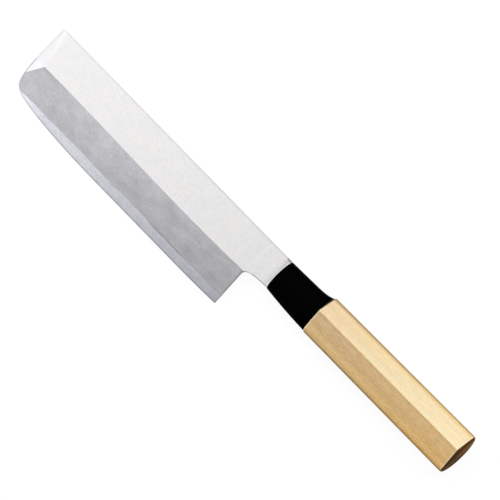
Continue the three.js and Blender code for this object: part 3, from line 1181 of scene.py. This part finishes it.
    def ground_body(self) -> bmesh.types.BMesh:
        """The whole ground blade, before it is parted into iron and hard steel.

        Returns:
            Its mesh.
        """
        plan, edge_end = self.outline()
        levels = (self.back_level, self.spine_level)
        body = between(*([Vector((*p, level)) for p in plan] for level in levels))
        ridge = [Vector((x, self.flat_height, self.ridge_level)) for x in (0.0, self.length)]
        grind(body, *plane_through(*ridge, Vector((0, 0, self.spine_level)), UP))
        grind(body, *plane_through(*ridge, Vector((0, self.height, self.land_level)), UP))
        self.grind_facet(body)
        for level, side in ((self.spine_level, 1), (self.back_level, -1)):
            tilt = Vector((0, -self.spine_drop, side * self.spine_chamfer)).normalized()
            grind(body, Vector((0, self.spine_chamfer, level)), tilt)
        grind(body, *self.neck_plane())
        rim = [Vector((*p, self.land_level)) for p in self.tip_rim()]
        self.grind_along(body, rim, self.tip_bevel_angle)
        # A stone has eased the front and drawn a fine line along the edge, up to the heel.
        drop = self.eased_width * (math.tan(math.radians(self.eased_angle)) - self.bevel_slope)
        eased = [Vector((*p, self.surface(*p) - drop)) for p in plan[1:1 + edge_end]]
        self.grind_along(body, eased, self.eased_angle)
        self.ease_neck(body)
        return body

    def hollow_tool(self) -> bpy.types.Object:
        """Body of the wheel's hollow in the back, deepest along its middle.

        Returns:
            The body as a scene object.
        """
        start = self.heel_setback + self.heel_lean + self.hollow_end
        length = self.length - self.tip_setback - self.hollow_end - start
        width = self.height - 2 * self.hollow_rim
        body = bmesh.new()
        segments = dict(zip(("x_segments", "y_segments"), self.hollow_steps))
        bmesh.ops.create_grid(body, **segments, size=0.5)
        for vert in body.verts:
            along, across = 2 * vert.co.x, 2 * vert.co.y
            depth = self.hollow_depth * (1 - across ** 2 - abs(along) ** self.hollow_end_power)
            vert.co = Vector((
                start + length * (vert.co.x + 0.5),
                self.hollow_rim + width * (vert.co.y + 0.5),
                self.back_level + depth,
            ))
        floor = bmesh.ops.extrude_face_region(body, geom=body.faces[:])["geom"]
        for vert in (v for v in floor if isinstance(v, bmesh.types.BMVert)):
            vert.co.z = self.back_level - 2 * OVERRUN
        bmesh.ops.recalc_face_normals(body, faces=body.faces[:])
        return piece_from(body, "hollow_tool")

    def tang_tool(self) -> bpy.types.Object:
        """The tapered tang, with a stub that runs into the neck.

        Returns:
            The body as a scene object.
        """
        axis = self.neck_height / 2
        middle = (self.spine_level + self.back_level) / 2
        height = self.neck_height - 2 * self.tang_shoulder
        thickness = self.spine_level - self.back_level - self.tang_thinning
        loops = [
            oblong(axis, middle, height, thickness),
            oblong(axis - self.tang_lift, middle, self.tang_end_height, self.tang_end_thickness),
        ]
        return bar("tang_tool", loops, OVERRUN, -self.tang_length)

    def weld_shift(self, x: float, share: float) -> float:
        """How far the weld line wanders to the edge, as a forged one does.

        Args:
            x: Place along the blade.
            share: Share of the line.

        Returns:
            Millimetres along y.
        """
        fade = min(1.0, self.weld_fade * share * (1 - share))
        wander = sum(w * math.sin(2 * math.pi * x / wave + phase) for w, wave, phase in self.weld_waves)
        return fade * (self.weld_wave * wander + self.weld_drift * share)

    def ridge_shift(self, _x: float, share: float) -> float:
        """How far the ridge line bows to the edge, as grinding by hand leaves it.

        Args:
            _x: Place along the blade, which makes no difference here.
            share: Share of the line.

        Returns:
            Millimetres along y.
        """
        last = len(self.ridge_bow) - 1
        bow = curve(*((i / last, shift) for i, shift in enumerate(self.ridge_bow)), steps=200)
        return float(np.interp(1 - share, *zip(*bow)))

    def build(self) -> None:
        """Makes the two pieces of the blade."""
        ground = piece_from(self.ground_body(), "ground_blade")
        hollow = self.hollow_tool()
        carve(ground, hollow, Cut.AWAY)
        # The hard steel is what lies under the weld, from its end in the neck to the tip.
        under = oblong(self.height / 2, -self.height, 4 * self.height, 2 * self.height)
        steel_space = bar("steel_space", [under, under], 2 * self.length, self.steel_setback)
        tang = self.tang_tool()
        self.iron, self.steel = (
            shown(name, ground.data.copy()) for name in ("soft_iron_body", "hard_steel_plate")
        )
        carve(self.iron, steel_space, Cut.AWAY)
        carve(self.iron, tang, Cut.JOIN)
        carve(self.steel, steel_space, Cut.KEEP)
        discard(ground, hollow, steel_space, tang)
        for piece in (self.iron, self.steel):
            weld = Vector((0.0, self.weld_line, 0.0))
            bend(piece, weld, self.length / self.weld_steps, self.bevel_slope, self.weld_shift)
        ridge = Vector((0.0, self.flat_height, self.ridge_level))
        bend(self.iron, ridge, self.ridge_stretch, self.flat_fall / self.flat_height, self.ridge_shift)

    def zone(self, face: bpy.types.MeshPolygon) -> Zone:
        """Zone of the blade in which a face lies.

        Args:
            face: Face of either piece, in bench millimetres.

        Returns:
            The zone.
        """
        bevel = Vector((0, self.bevel_slope, 1)).normalized()
        corner = self.neck_plane()[1]
        if abs(face.normal.z) < self.steep or face.normal.dot(corner) > self.alike:
            return Zone.RIM
        if face.normal.dot(self.facet_plane()[1]) > self.alike:
            return Zone.FACET
        if face.center.y > self.flat_height and face.normal.dot(bevel) > self.upward:
            return Zone.BEVEL
        return Zone.FLAT

    def dress(self) -> list[bpy.types.Object]:
        """Gives each face its finish and hands the pieces to the frame.

        Returns:
            The finished pieces.
        """
        origin = self.bench.origin
        ridge = origin.y + self.flat_height * MM
        ends = {"spine": origin.y, "ridge": ridge, "heel": origin.x, "tip": origin.x + self.length * MM}
        ground = CrossGroundSteel(**ends).material()
        facet = CrossGroundSteel(
            **ends, name="soft_iron_polished", warm="B4B4B4", cool="B0B1B4", roughness=(0.21, 0.32),
            line_depth=0.0, grit_depth=0.0, relief=0.0,
        ).material()
        fall = {
            "weld": origin.y + self.weld_line * MM,
            "tip": ends["tip"],
            "ends": tuple(origin.x + reach * MM for reach in self.painted_shade_reach),
            "heel_line": self.heel_border(),
        }
        misted = MistedIron(ridge=ridge, **fall).material()
        honed = HonedSteel(**fall).material()
        filed = FiledIron().material()
        for piece, node, fine in (
            (self.iron, "blade_iron", misted),
            (self.steel, "blade_hard_steel", honed),
        ):
            piece.data.materials.clear()
            for finish in (ground, fine, facet, filed):
                piece.data.materials.append(finish)
            for face in piece.data.polygons:
                face.material_index = self.zone(face).value
                face.use_smooth = False
            self.bench.hand_over(piece, node)
        return [self.iron, self.steel]


@dataclass
class Handle:
    """Ferrule and wooden grip, both lofted between two sections by one rule.

    Sizes are millimetres, angles degrees. Faces whose normal is nearer to the length than the end's
    cosine lie across the grain.
    """

    bench: Bench
    around: int = 128
    along: int = 96
    neck_height: float = 19.2
    neck_proud: float = 0.1
    ferrule_ridge: float = 6.4
    ferrule_round: float = 0.5
    ferrule_rear_round: float = 0.05
    ferrule_inset: float = 0.4
    ferrule_top: float = 0.0
    ferrule_bottom: float = 19.45
    cove: float = 1.5
    cove_length: float = 13.0
    cove_power: float = 3.3
    swell_power: float = 1.75
    front_height: float = 24.75
    butt_height: float = 25.85
    front_lift: float = 0.45
    butt_lift: float = 1.15
    front_ridge: float = 9.0
    butt_ridge: float = 9.3
    front_back: float = 10.3
    butt_back: float = 12.4
    ridge_shift: float = -1.3
    face_slope: float = 28.0
    face_power: float = 26.0
    ridge_softness: float = 0.02
    wood_chamfer: float = 0.8
    butt_round: float = 0.4
    butt_shares: Pair = (0.28, 0.6)
    tenon_recess: float = 0.8
    tenon_height: float = 13.7
    tenon_thickness: float = 8.0
    tenon_corner: float = 2.6
    tenon_steps: int = 8
    fit_gap: float = 0.2
    resin_gap: float = 0.9
    end_cosine: float = 0.99
    crease: float = 28.0

    def __post_init__(self) -> None:
        """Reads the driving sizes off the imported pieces."""
        self.joint = self.bench.box("ferrule")[0].x
        self.butt = self.bench.box("grip")[0].x
        iron_low, iron_high = self.bench.box("blade_iron")
        self.level = (iron_high.z + self.bench.box("blade_hard_steel")[0].z) / 2
        self.tang_end = iron_low.x
        self.axis = (self.neck_height + self.neck_proud) / 2

    def sizes(self) -> list[dict[str, float]]:
        """Sizes of the loft, by the names of its inputs.

        Returns:
            The ferrule's sizes, then the grip's.
        """
        front_middle = self.axis - self.front_lift
        butt_middle = self.axis - self.butt_lift
        front_top = front_middle - self.front_height / 2
        front_bottom = front_middle + self.front_height / 2
        shared = {
            "Ridge Shift": self.ridge_shift,
            "Face Slope": math.tan(math.radians(self.face_slope)),
            "Face Power": self.face_power,
            "Ridge Softness": self.ridge_softness,
            "Level": self.level,
            "Cove Length": self.cove_length,
            "Cove Power": self.cove_power,
        }
        # Each pair is the size at the rear and at the front.
        ferrule = {
            "X": (self.joint, 0.0),
            "Top": (front_top + self.wood_chamfer + self.cove, self.ferrule_top),
            "Bottom": (front_bottom - self.ferrule_inset, self.ferrule_bottom),
            "Ridge": (self.front_ridge - self.wood_chamfer, self.ferrule_ridge),
            "Back": (self.front_back - self.wood_chamfer, self.ferrule_ridge),
            "Keel": (1.0, 0.0),
            "Edge": (self.ferrule_rear_round, self.ferrule_round),
            "Edge Power": (Edge.ROUND.value, Edge.ROUND.value),
        }
        grip = {
            "X": (self.butt, self.joint),
            "Top": (butt_middle - self.butt_height / 2, front_top),
            "Bottom": (butt_middle + self.butt_height / 2, front_bottom),
            "Ridge": (self.butt_ridge, self.front_ridge),
            "Back": (self.butt_back, self.front_back),
            "Keel": (1.0, 1.0),
            "Edge": (self.butt_round, self.wood_chamfer),
            "Edge Power": (Edge.ROUND.value, Edge.CHAMFER.value),
        }
        sizes = []
        for pairs, cove, swell in ((ferrule, self.cove, self.swell_power), (grip, 0.0, 1.0)):
            row = {**shared, "Cove": cove, "Swell": swell}
            for name, (rear, front) in pairs.items():
                row[f"Rear {name}"] = rear
                row[f"Front {name}"] = front
            sizes.append(row)
        return sizes

    def steps(self) -> list[tuple]:
        """The loft's rule, one sum a row.

        Returns:
            Rows of a name, what is done, and with what.
        """
        rows: list[tuple] = [
            ("turn", "MULTIPLY", "height", math.pi),
            ("swing", "COSINE", "turn"),
            ("share", "MULTIPLY_ADD", "swing", -0.5, 0.5),
            ("length", "SUBTRACT", "Front X", "Rear X"),
            ("x", "MULTIPLY_ADD", "length", "share", "Rear X"),
            ("to Front", "SUBTRACT", "Front X", "x"),
            ("to Rear", "SUBTRACT", "x", "Rear X"),
        ]
        for end in ("Front", "Rear"):
            rows += [
                ("left", "SUBTRACT", f"{end} Edge", f"to {end}"),
                ("left", "MAXIMUM", "left", 0.0),
                ("left", "POWER", "left", f"{end} Edge Power"),
                ("full", "POWER", f"{end} Edge", f"{end} Edge Power"),
                ("full", "SUBTRACT", "full", "left"),
                ("root", "DIVIDE", 1.0, f"{end} Edge Power"),
                ("full", "POWER", "full", "root"),
                (f"{end} margin", "SUBTRACT", f"{end} Edge", "full"),
            ]
        for size in ("Top", "Ridge", "Back", "Keel"):
            rows += [
                ("span", "SUBTRACT", f"Front {size}", f"Rear {size}"),
                (size, "MULTIPLY_ADD", "span", "share", f"Rear {size}"),
            ]
        rows += [
            ("margin", "ADD", "Front margin", "Rear margin"),
            ("swell", "POWER", "share", "Swell"),
            ("span", "SUBTRACT", "Front Bottom", "Rear Bottom"),
            ("Bottom", "MULTIPLY_ADD", "span", "swell", "Rear Bottom"),
            ("cove", "DIVIDE", "to Rear", "Cove Length"),
            ("cove", "SUBTRACT", 1.0, "cove"),
            ("cove", "MAXIMUM", "cove", 0.0),
            ("cove", "POWER", "cove", "Cove Power"),
            ("cove", "MULTIPLY", "cove", "Cove"),
            ("Top", "SUBTRACT", "Top", "cove"),
            ("half", "SUBTRACT", "Bottom", "Top"),
            ("half", "MULTIPLY", "half", 0.5),
            ("half", "SUBTRACT", "half", "margin"),
            ("middle", "ADD", "Top", "Bottom"),
            ("middle", "MULTIPLY", "middle", 0.5),
            ("crest", "SUBTRACT", "Ridge", "margin"),
            ("under", "SUBTRACT", "Back", "margin"),
            ("away", "MULTIPLY", "across", "across"),
            ("soft", "MULTIPLY", "Ridge Softness", "Ridge Softness"),
            ("away", "ADD", "away", "soft"),
            ("away", "SQRT", "away"),
            ("away", "SUBTRACT", "away", "Ridge Softness"),
            ("fall", "DIVIDE", "half", "crest"),
            ("fall", "MULTIPLY", "fall", "Face Slope"),
            ("fall", "MULTIPLY", "fall", "away"),
            ("roof", "SUBTRACT", 1.0, "fall"),
            ("side", "ABSOLUTE", "across"),
            ("side", "POWER", "side", "Face Power"),
            ("side", "SUBTRACT", 1.0, "side"),
            ("side", "MAXIMUM", "side", 0.0),
            ("side", "SQRT", "side"),
            ("face", "MULTIPLY", "roof", "side"),
            ("over", "MAXIMUM", "up", 0.0),
            ("change", "SUBTRACT", "face", "over"),
            ("lift", "MULTIPLY_ADD", "change", "Keel", "over"),
            ("upper", "GREATER_THAN", "up", TINY),
            ("crown", "MULTIPLY", "crest", "lift"),
            ("crown", "MULTIPLY", "crown", "upper"),
            ("low", "MINIMUM", "up", 0.0),
            ("z", "MULTIPLY_ADD", "under", "low", "crown"),
            ("z", "ADD", "z", "Level"),
            ("over", "MULTIPLY", "over", "over"),
            ("shift", "MULTIPLY", "over", "Keel"),
            ("shift", "MULTIPLY", "shift", "Ridge Shift"),
            ("y", "MULTIPLY_ADD", "half", "across", "middle"),
            ("y", "ADD", "y", "shift"),
        ]
        return rows

    def loft_tree(self, names: list[str]) -> Tree:
        """Builds the node tree that lofts a handle piece.

        Args:
            names: Names of the loft's size inputs.

        Returns:
            The geometry node tree.
        """
        tree = bpy.data.node_groups.new("handle_loft", "GeometryNodeTree")
        kinds = {
            "Float": names,
            "Int": ("Around", "Along"),
            "Material": ("Side Finish", "Butt Finish"),
        }
        for kind, group in kinds.items():
            for name in group:
                tree.interface.new_socket(name, in_out="INPUT", socket_type=f"NodeSocket{kind}")
        tree.interface.new_socket("Geometry", in_out="OUTPUT", socket_type="NodeSocketGeometry")
        given = add(tree, "NodeGroupInput").node.outputs
        rod = add(tree, "GeometryNodeMeshCylinder", {
            "Vertices": given["Around"], "Side Segments": given["Along"], "Radius": 1.0, "Depth": 1.0,
        }, fill_type="NGON")
        place = add(tree, "ShaderNodeSeparateXYZ", (add(tree, "GeometryNodeInputPosition"),)).node.outputs
        values = {name: given[name] for name in names}
        values.update(across=place["X"], up=place["Y"])
        values["height"] = add(tree, "ShaderNodeMath", (place["Z"], 0.5), operation="ADD")
        for name, operation, *operands in self.steps():
            inputs = tuple(values[o] if isinstance(o, str) else o for o in operands)
            values[name] = add(tree, "ShaderNodeMath", inputs, operation=operation)
        target = add(tree, "ShaderNodeCombineXYZ", (values["x"], values["y"], values["z"]))
        formed = add(tree, "GeometryNodeSetPosition", {"Geometry": rod, "Position": target})
        real = add(tree, "GeometryNodeRealizeInstances", {"Geometry": formed})
        sides = add(tree, "GeometryNodeSetMaterial", {"Geometry": real, "Material": given["Side Finish"]})
        butt = rod.node.outputs["Bottom"]
        ends = add(tree, "GeometryNodeSetMaterial", {
            "Geometry": sides, "Selection": butt, "Material": given["Butt Finish"],
        })
        add(tree, "NodeGroupOutput", {"Geometry": ends})
        return tree

    def loft(self, name: str, tree: Tree, sizes: dict[str, Any]) -> bpy.types.Object:
        """Lofts one piece and turns it into a plain mesh.

        Args:
            name: Name of the piece.
            tree: The loft's node tree.
            sizes: Value of each of the tree's inputs.

        Returns:
            The piece, in bench millimetres.
        """
        piece = shown(name, bpy.data.meshes.new(name))
        modifier = piece.modifiers.new("loft", "NODES")
        modifier.node_group = tree
        for socket in tree.interface.items_tree:
            if socket.in_out == "INPUT":
                modifier[socket.identifier] = sizes[socket.name]
        bake(piece)
        return piece

    def tenon_tool(self, margin: float, front: float, rear: float) -> bpy.types.Object:
        """Rounded bar on which the ferrule sits.

        Args:
            margin: How much larger it is than the tenon, all round.
            front: Where it starts.
            rear: Where it ends.

        Returns:
            The body as a scene object.
        """
        radius = self.tenon_corner + margin
        half_height = self.tenon_height / 2 + margin - radius
        half_thickness = self.tenon_thickness / 2 + margin - radius
        loop = []
        for i, (a, b) in enumerate(((1, 1), (-1, 1), (-1, -1), (1, -1))):
            for step in range(self.tenon_steps + 1):
                angle = (i + step / self.tenon_steps) * math.pi / 2
                loop.append((
                    self.axis + a * half_height + radius * math.cos(angle),
                    self.level + b * half_thickness + radius * math.sin(angle),
                ))
        return bar("tenon_tool", [loop, loop], front, rear)

    def socket_tool(self, blade: Blade) -> bpy.types.Object:
        """Tapered space for the tang and the resin round it.

        Args:
            blade: Blade with the tang.

        Returns:
            The body as a scene object.
        """
        room = 2 * self.resin_gap
        height = self.neck_height - self.neck_proud - 2 * blade.tang_shoulder
        thickness = blade.spine_level - blade.back_level
        end_axis = self.axis - blade.tang_lift
        loops = [
            oblong(self.axis, self.level, height + room, thickness + room),
            oblong(end_axis, self.level, blade.tang_end_height + room, blade.tang_end_thickness + room),
        ]
        return bar("socket_tool", loops, 0.0, self.tang_end - self.resin_gap)

    def build(self, blade: Blade) -> None:
        """Makes the ferrule and the grip.

        Args:
            blade: The blade whose tang goes into the handle.
        """
        place = self.bench.origin
        ferrule_sizes, grip_sizes = self.sizes()
        edges = {
            end: tuple(place.y + grip_sizes[f"{end} {side}"] * MM for side in ("Top", "Bottom"))
            for end in ("Front", "Rear")
        }
        horn = BlackHorn().material()
        wood = Magnolia(
            joint=place.x + self.joint * MM,
            butt=place.x + self.butt * MM,
            joint_edges=edges["Front"],
            butt_edges=edges["Rear"],
        ).material()
        top, bottom = edges["Rear"]
        sides = tuple(top + (bottom - top) * share for share in self.butt_shares)
        cut_end = EndGrain(sides=sides).material()
        tree = self.loft_tree(list(ferrule_sizes))
        counts = {"Around": self.around, "Along": self.along}
        self.ferrule = self.loft(
            "horn_ferrule", tree, {**ferrule_sizes, **counts, "Side Finish": horn, "Butt Finish": horn}
        )
        self.grip = self.loft(
            "wooden_grip", tree, {**grip_sizes, **counts, "Side Finish": wood, "Butt Finish": cut_end}
        )
        bore = self.tenon_tool(self.fit_gap, OVERRUN, self.joint - OVERRUN)
        tenon = self.tenon_tool(0.0, -self.tenon_recess, self.joint - OVERRUN)
        socket = self.socket_tool(blade)
        carve(self.ferrule, bore, Cut.AWAY)
        carve(self.grip, tenon, Cut.JOIN)
        carve(self.grip, socket, Cut.AWAY)
        discard(bore, tenon, socket)

    def dress(self) -> list[bpy.types.Object]:
        """Smooths the pieces and hands them to the frame.

        Faces across the grain get the last finish of the piece, the others its first.

        Returns:
            The finished pieces.
        """
        for piece, node in ((self.ferrule, "ferrule"), (self.grip, "grip")):
            finishes = [m for m in piece.data.materials if m]
            piece.data.materials.clear()
            for finish in finishes:
                piece.data.materials.append(finish)
            for face in piece.data.polygons:
                across = abs(face.normal.x) > self.end_cosine
                face.material_index = len(finishes) - 1 if across else 0
                face.use_smooth = not across
            piece.data.set_sharp_from_angle(angle=math.radians(self.crease))
            self.bench.hand_over(piece, node)
        return [self.ferrule, self.grip]


@dataclass
class Studio:
    """Pale floor, soft light from the spine's side, and the camera of the photograph.

    Sizes are metres, angles degrees.
    """

    bench: Bench
    azimuth: float = 177.1406
    elevation: float = 76.2
    roll: float = -41.347
    target: tuple[float, float, float] = (0.0003541, -0.0088493, 0.0093)
    distance: float = 4.0
    far: float = 100.0
    pixels_per_mm: float = 1.8864
    image_size: int = 500
    sensor: float = 36.0
    floor_size: float = 6.0
    floor_clearance: float = 0.0002
    floor_colour: str = "5E5E5E"
    floor_glow: float = 0.92
    world_colour: str = "FFFFFF"
    world_light: float = 0.4
    panel_radiance: float = 1.45
    panel_size: Pair = (1.9, 1.0)
    panel_edge: tuple[float, float, float] = (0.1, 0.1, 0.75)
    panel_tilt: float = 17.0
    panel_turn: float = 24.0
    tip_lamp: tuple[float, float, float] = (0.66, 0.42, 0.85)
    tip_lamp_aim: tuple[float, float, float] = (0.1, 0.0, 0.0)
    tip_lamp_size: Pair = (0.7, 0.6)
    tip_lamp_radiance: float = 0.7

    def camera(self) -> None:
        """Sets the camera where the photograph's was."""
        az, el, roll = (math.radians(a) for a in (self.azimuth, self.elevation, self.roll))
        back = Vector((math.cos(el) * math.cos(az), math.cos(el) * math.sin(az), math.sin(el)))
        level = Vector((-math.sin(az), math.cos(az), 0.0))
        upright = back.cross(level)
        right = math.cos(roll) * level + math.sin(roll) * upright
        up = math.cos(roll) * upright - math.sin(roll) * level
        view = bpy.data.cameras.new("photograph")
        view.sensor_width = self.sensor
        view.lens = self.sensor * self.distance / (self.image_size / self.pixels_per_mm * MM)
        view.clip_end = self.far
        eye = shown("photograph", view)
        turn = Matrix((right, up, back)).transposed().to_4x4()
        eye.matrix_world = Matrix.Translation(Vector(self.target) + back * self.distance) @ turn
        bpy.context.scene.camera = eye

    def paper(self) -> bpy.types.Material:
        """White paper, lit from above and bright to the camera and in mirrors.

        Returns:
            The floor's material.
        """
        paper = bpy.data.materials.new("pale_floor")
        paper.use_nodes = True
        tree = paper.node_tree
        tree.nodes.clear()
        path = add(tree, "ShaderNodeLightPath").node.outputs
        seen = path["Is Camera Ray"]
        for ray in ("Is Glossy Ray", "Is Transmission Ray"):
            seen = add(tree, "ShaderNodeMath", (seen, path[ray]), operation="MAXIMUM")
        glow = add(tree, "ShaderNodeMath", (seen, self.floor_glow), operation="MULTIPLY")
        lit = add(tree, "ShaderNodeBsdfDiffuse", {"Color": linear(self.floor_colour)})
        white = add(tree, "ShaderNodeEmission", {"Strength": glow})
        add(tree, "ShaderNodeOutputMaterial", {"Surface": add(tree, "ShaderNodeAddShader", (lit, white))})
        return paper

    def floor(self, handle: Handle) -> None:
        """Lays the floor through the points on which the knife rests: the tip and the wood's front.

        Args:
            handle: The handle that rests on the floor.
        """
        rest = Vector((handle.joint - handle.wood_chamfer, 0.0, handle.level - handle.front_back))
        wood = self.bench.origin + rest * MM
        steel_low, steel_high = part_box("blade_hard_steel")
        rise = (steel_low.z - wood.z) / (steel_high.x - wood.x)
        body = bmesh.new()
        for a, b in SQUARE:
            x, y = (side * self.floor_size / 2 for side in (a, b))
            body.verts.new((x, y, wood.z + rise * (x - wood.x) - self.floor_clearance))
        body.faces.new(body.verts[:])
        plane = piece_from(body, "floor")
        plane.data.materials.append(self.paper())

    def world(self) -> None:
        """Fills in from all round with weak, even light."""
        sky = bpy.data.worlds.new("studio")
        sky.use_nodes = True
        tree = sky.node_tree
        fill = {"Color": linear(self.world_colour), "Strength": self.world_light}
        plug(tree, tree.nodes["Background"], fill)
        bpy.context.scene.world = sky

    def hang(self, name: str, size: Pair, radiance: float, place: Matrix) -> None:
        """Hangs a soft rectangular lamp, which the camera looks through.

        Args:
            name: Name of the lamp.
            size: Width and depth.
            radiance: Brightness of its face.
            place: Where it hangs; it shines along its own -z.
        """
        lamp = bpy.data.lights.new(name, "AREA")
        lamp.shape = "RECTANGLE"
        lamp.size, lamp.size_y = size
        lamp.energy = radiance * math.pi * size[0] * size[1]
        holder = shown(name, lamp)
        holder.matrix_world = place
        holder.visible_camera = False

    def light(self) -> None:
        """Hangs a large panel over the spine's side and a smaller one beyond the tip."""
        turn = Matrix.Rotation(math.radians(self.panel_turn), 4, "Z")
        tilt = Matrix.Rotation(math.radians(self.panel_tilt), 4, "X")
        edge = Matrix.Translation(Vector((0.0, -self.panel_size[1] / 2, 0.0)))
        place = Matrix.Translation(Vector(self.panel_edge)) @ turn @ tilt @ edge
        self.hang("spine_panel", self.panel_size, self.panel_radiance, place)
        aim = Vector(self.tip_lamp) - Vector(self.tip_lamp_aim)
        place = Matrix.Translation(Vector(self.tip_lamp)) @ aim.to_track_quat("Z", "Y").to_matrix().to_4x4()
        self.hang("tip_lamp", self.tip_lamp_size, self.tip_lamp_radiance, place)

    def build(self, handle: Handle) -> None:
        """Sets up camera, floor, world and light.

        Args:
            handle: The handle that rests on the floor.
        """
        self.camera()
        self.floor(handle)
        self.world()
        self.light()
        bpy.context.scene.view_settings.view_transform = "Standard"


def dress_resin() -> bpy.types.Object:
    """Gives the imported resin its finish.

    Returns:
        The resin.
    """
    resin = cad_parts["tang_resin"]
    resin.data.materials.clear()
    resin.data.materials.append(PineResin().material())
    return resin


def main() -> None:
    """Builds the knife and its studio."""
    logging.basicConfig(level=logging.INFO, format="%(name)s: %(message)s")
    bench = Bench.from_frame()
    blade = Blade(bench)
    handle = Handle(bench)
    Studio(bench).build(handle)
    blade.build()
    handle.build(blade)
    for piece in (*blade.dress(), *handle.dress(), dress_resin()):
        LOG.info("%s has %d faces", piece.name, len(piece.data.polygons))


if __name__ == "__main__":
    main()
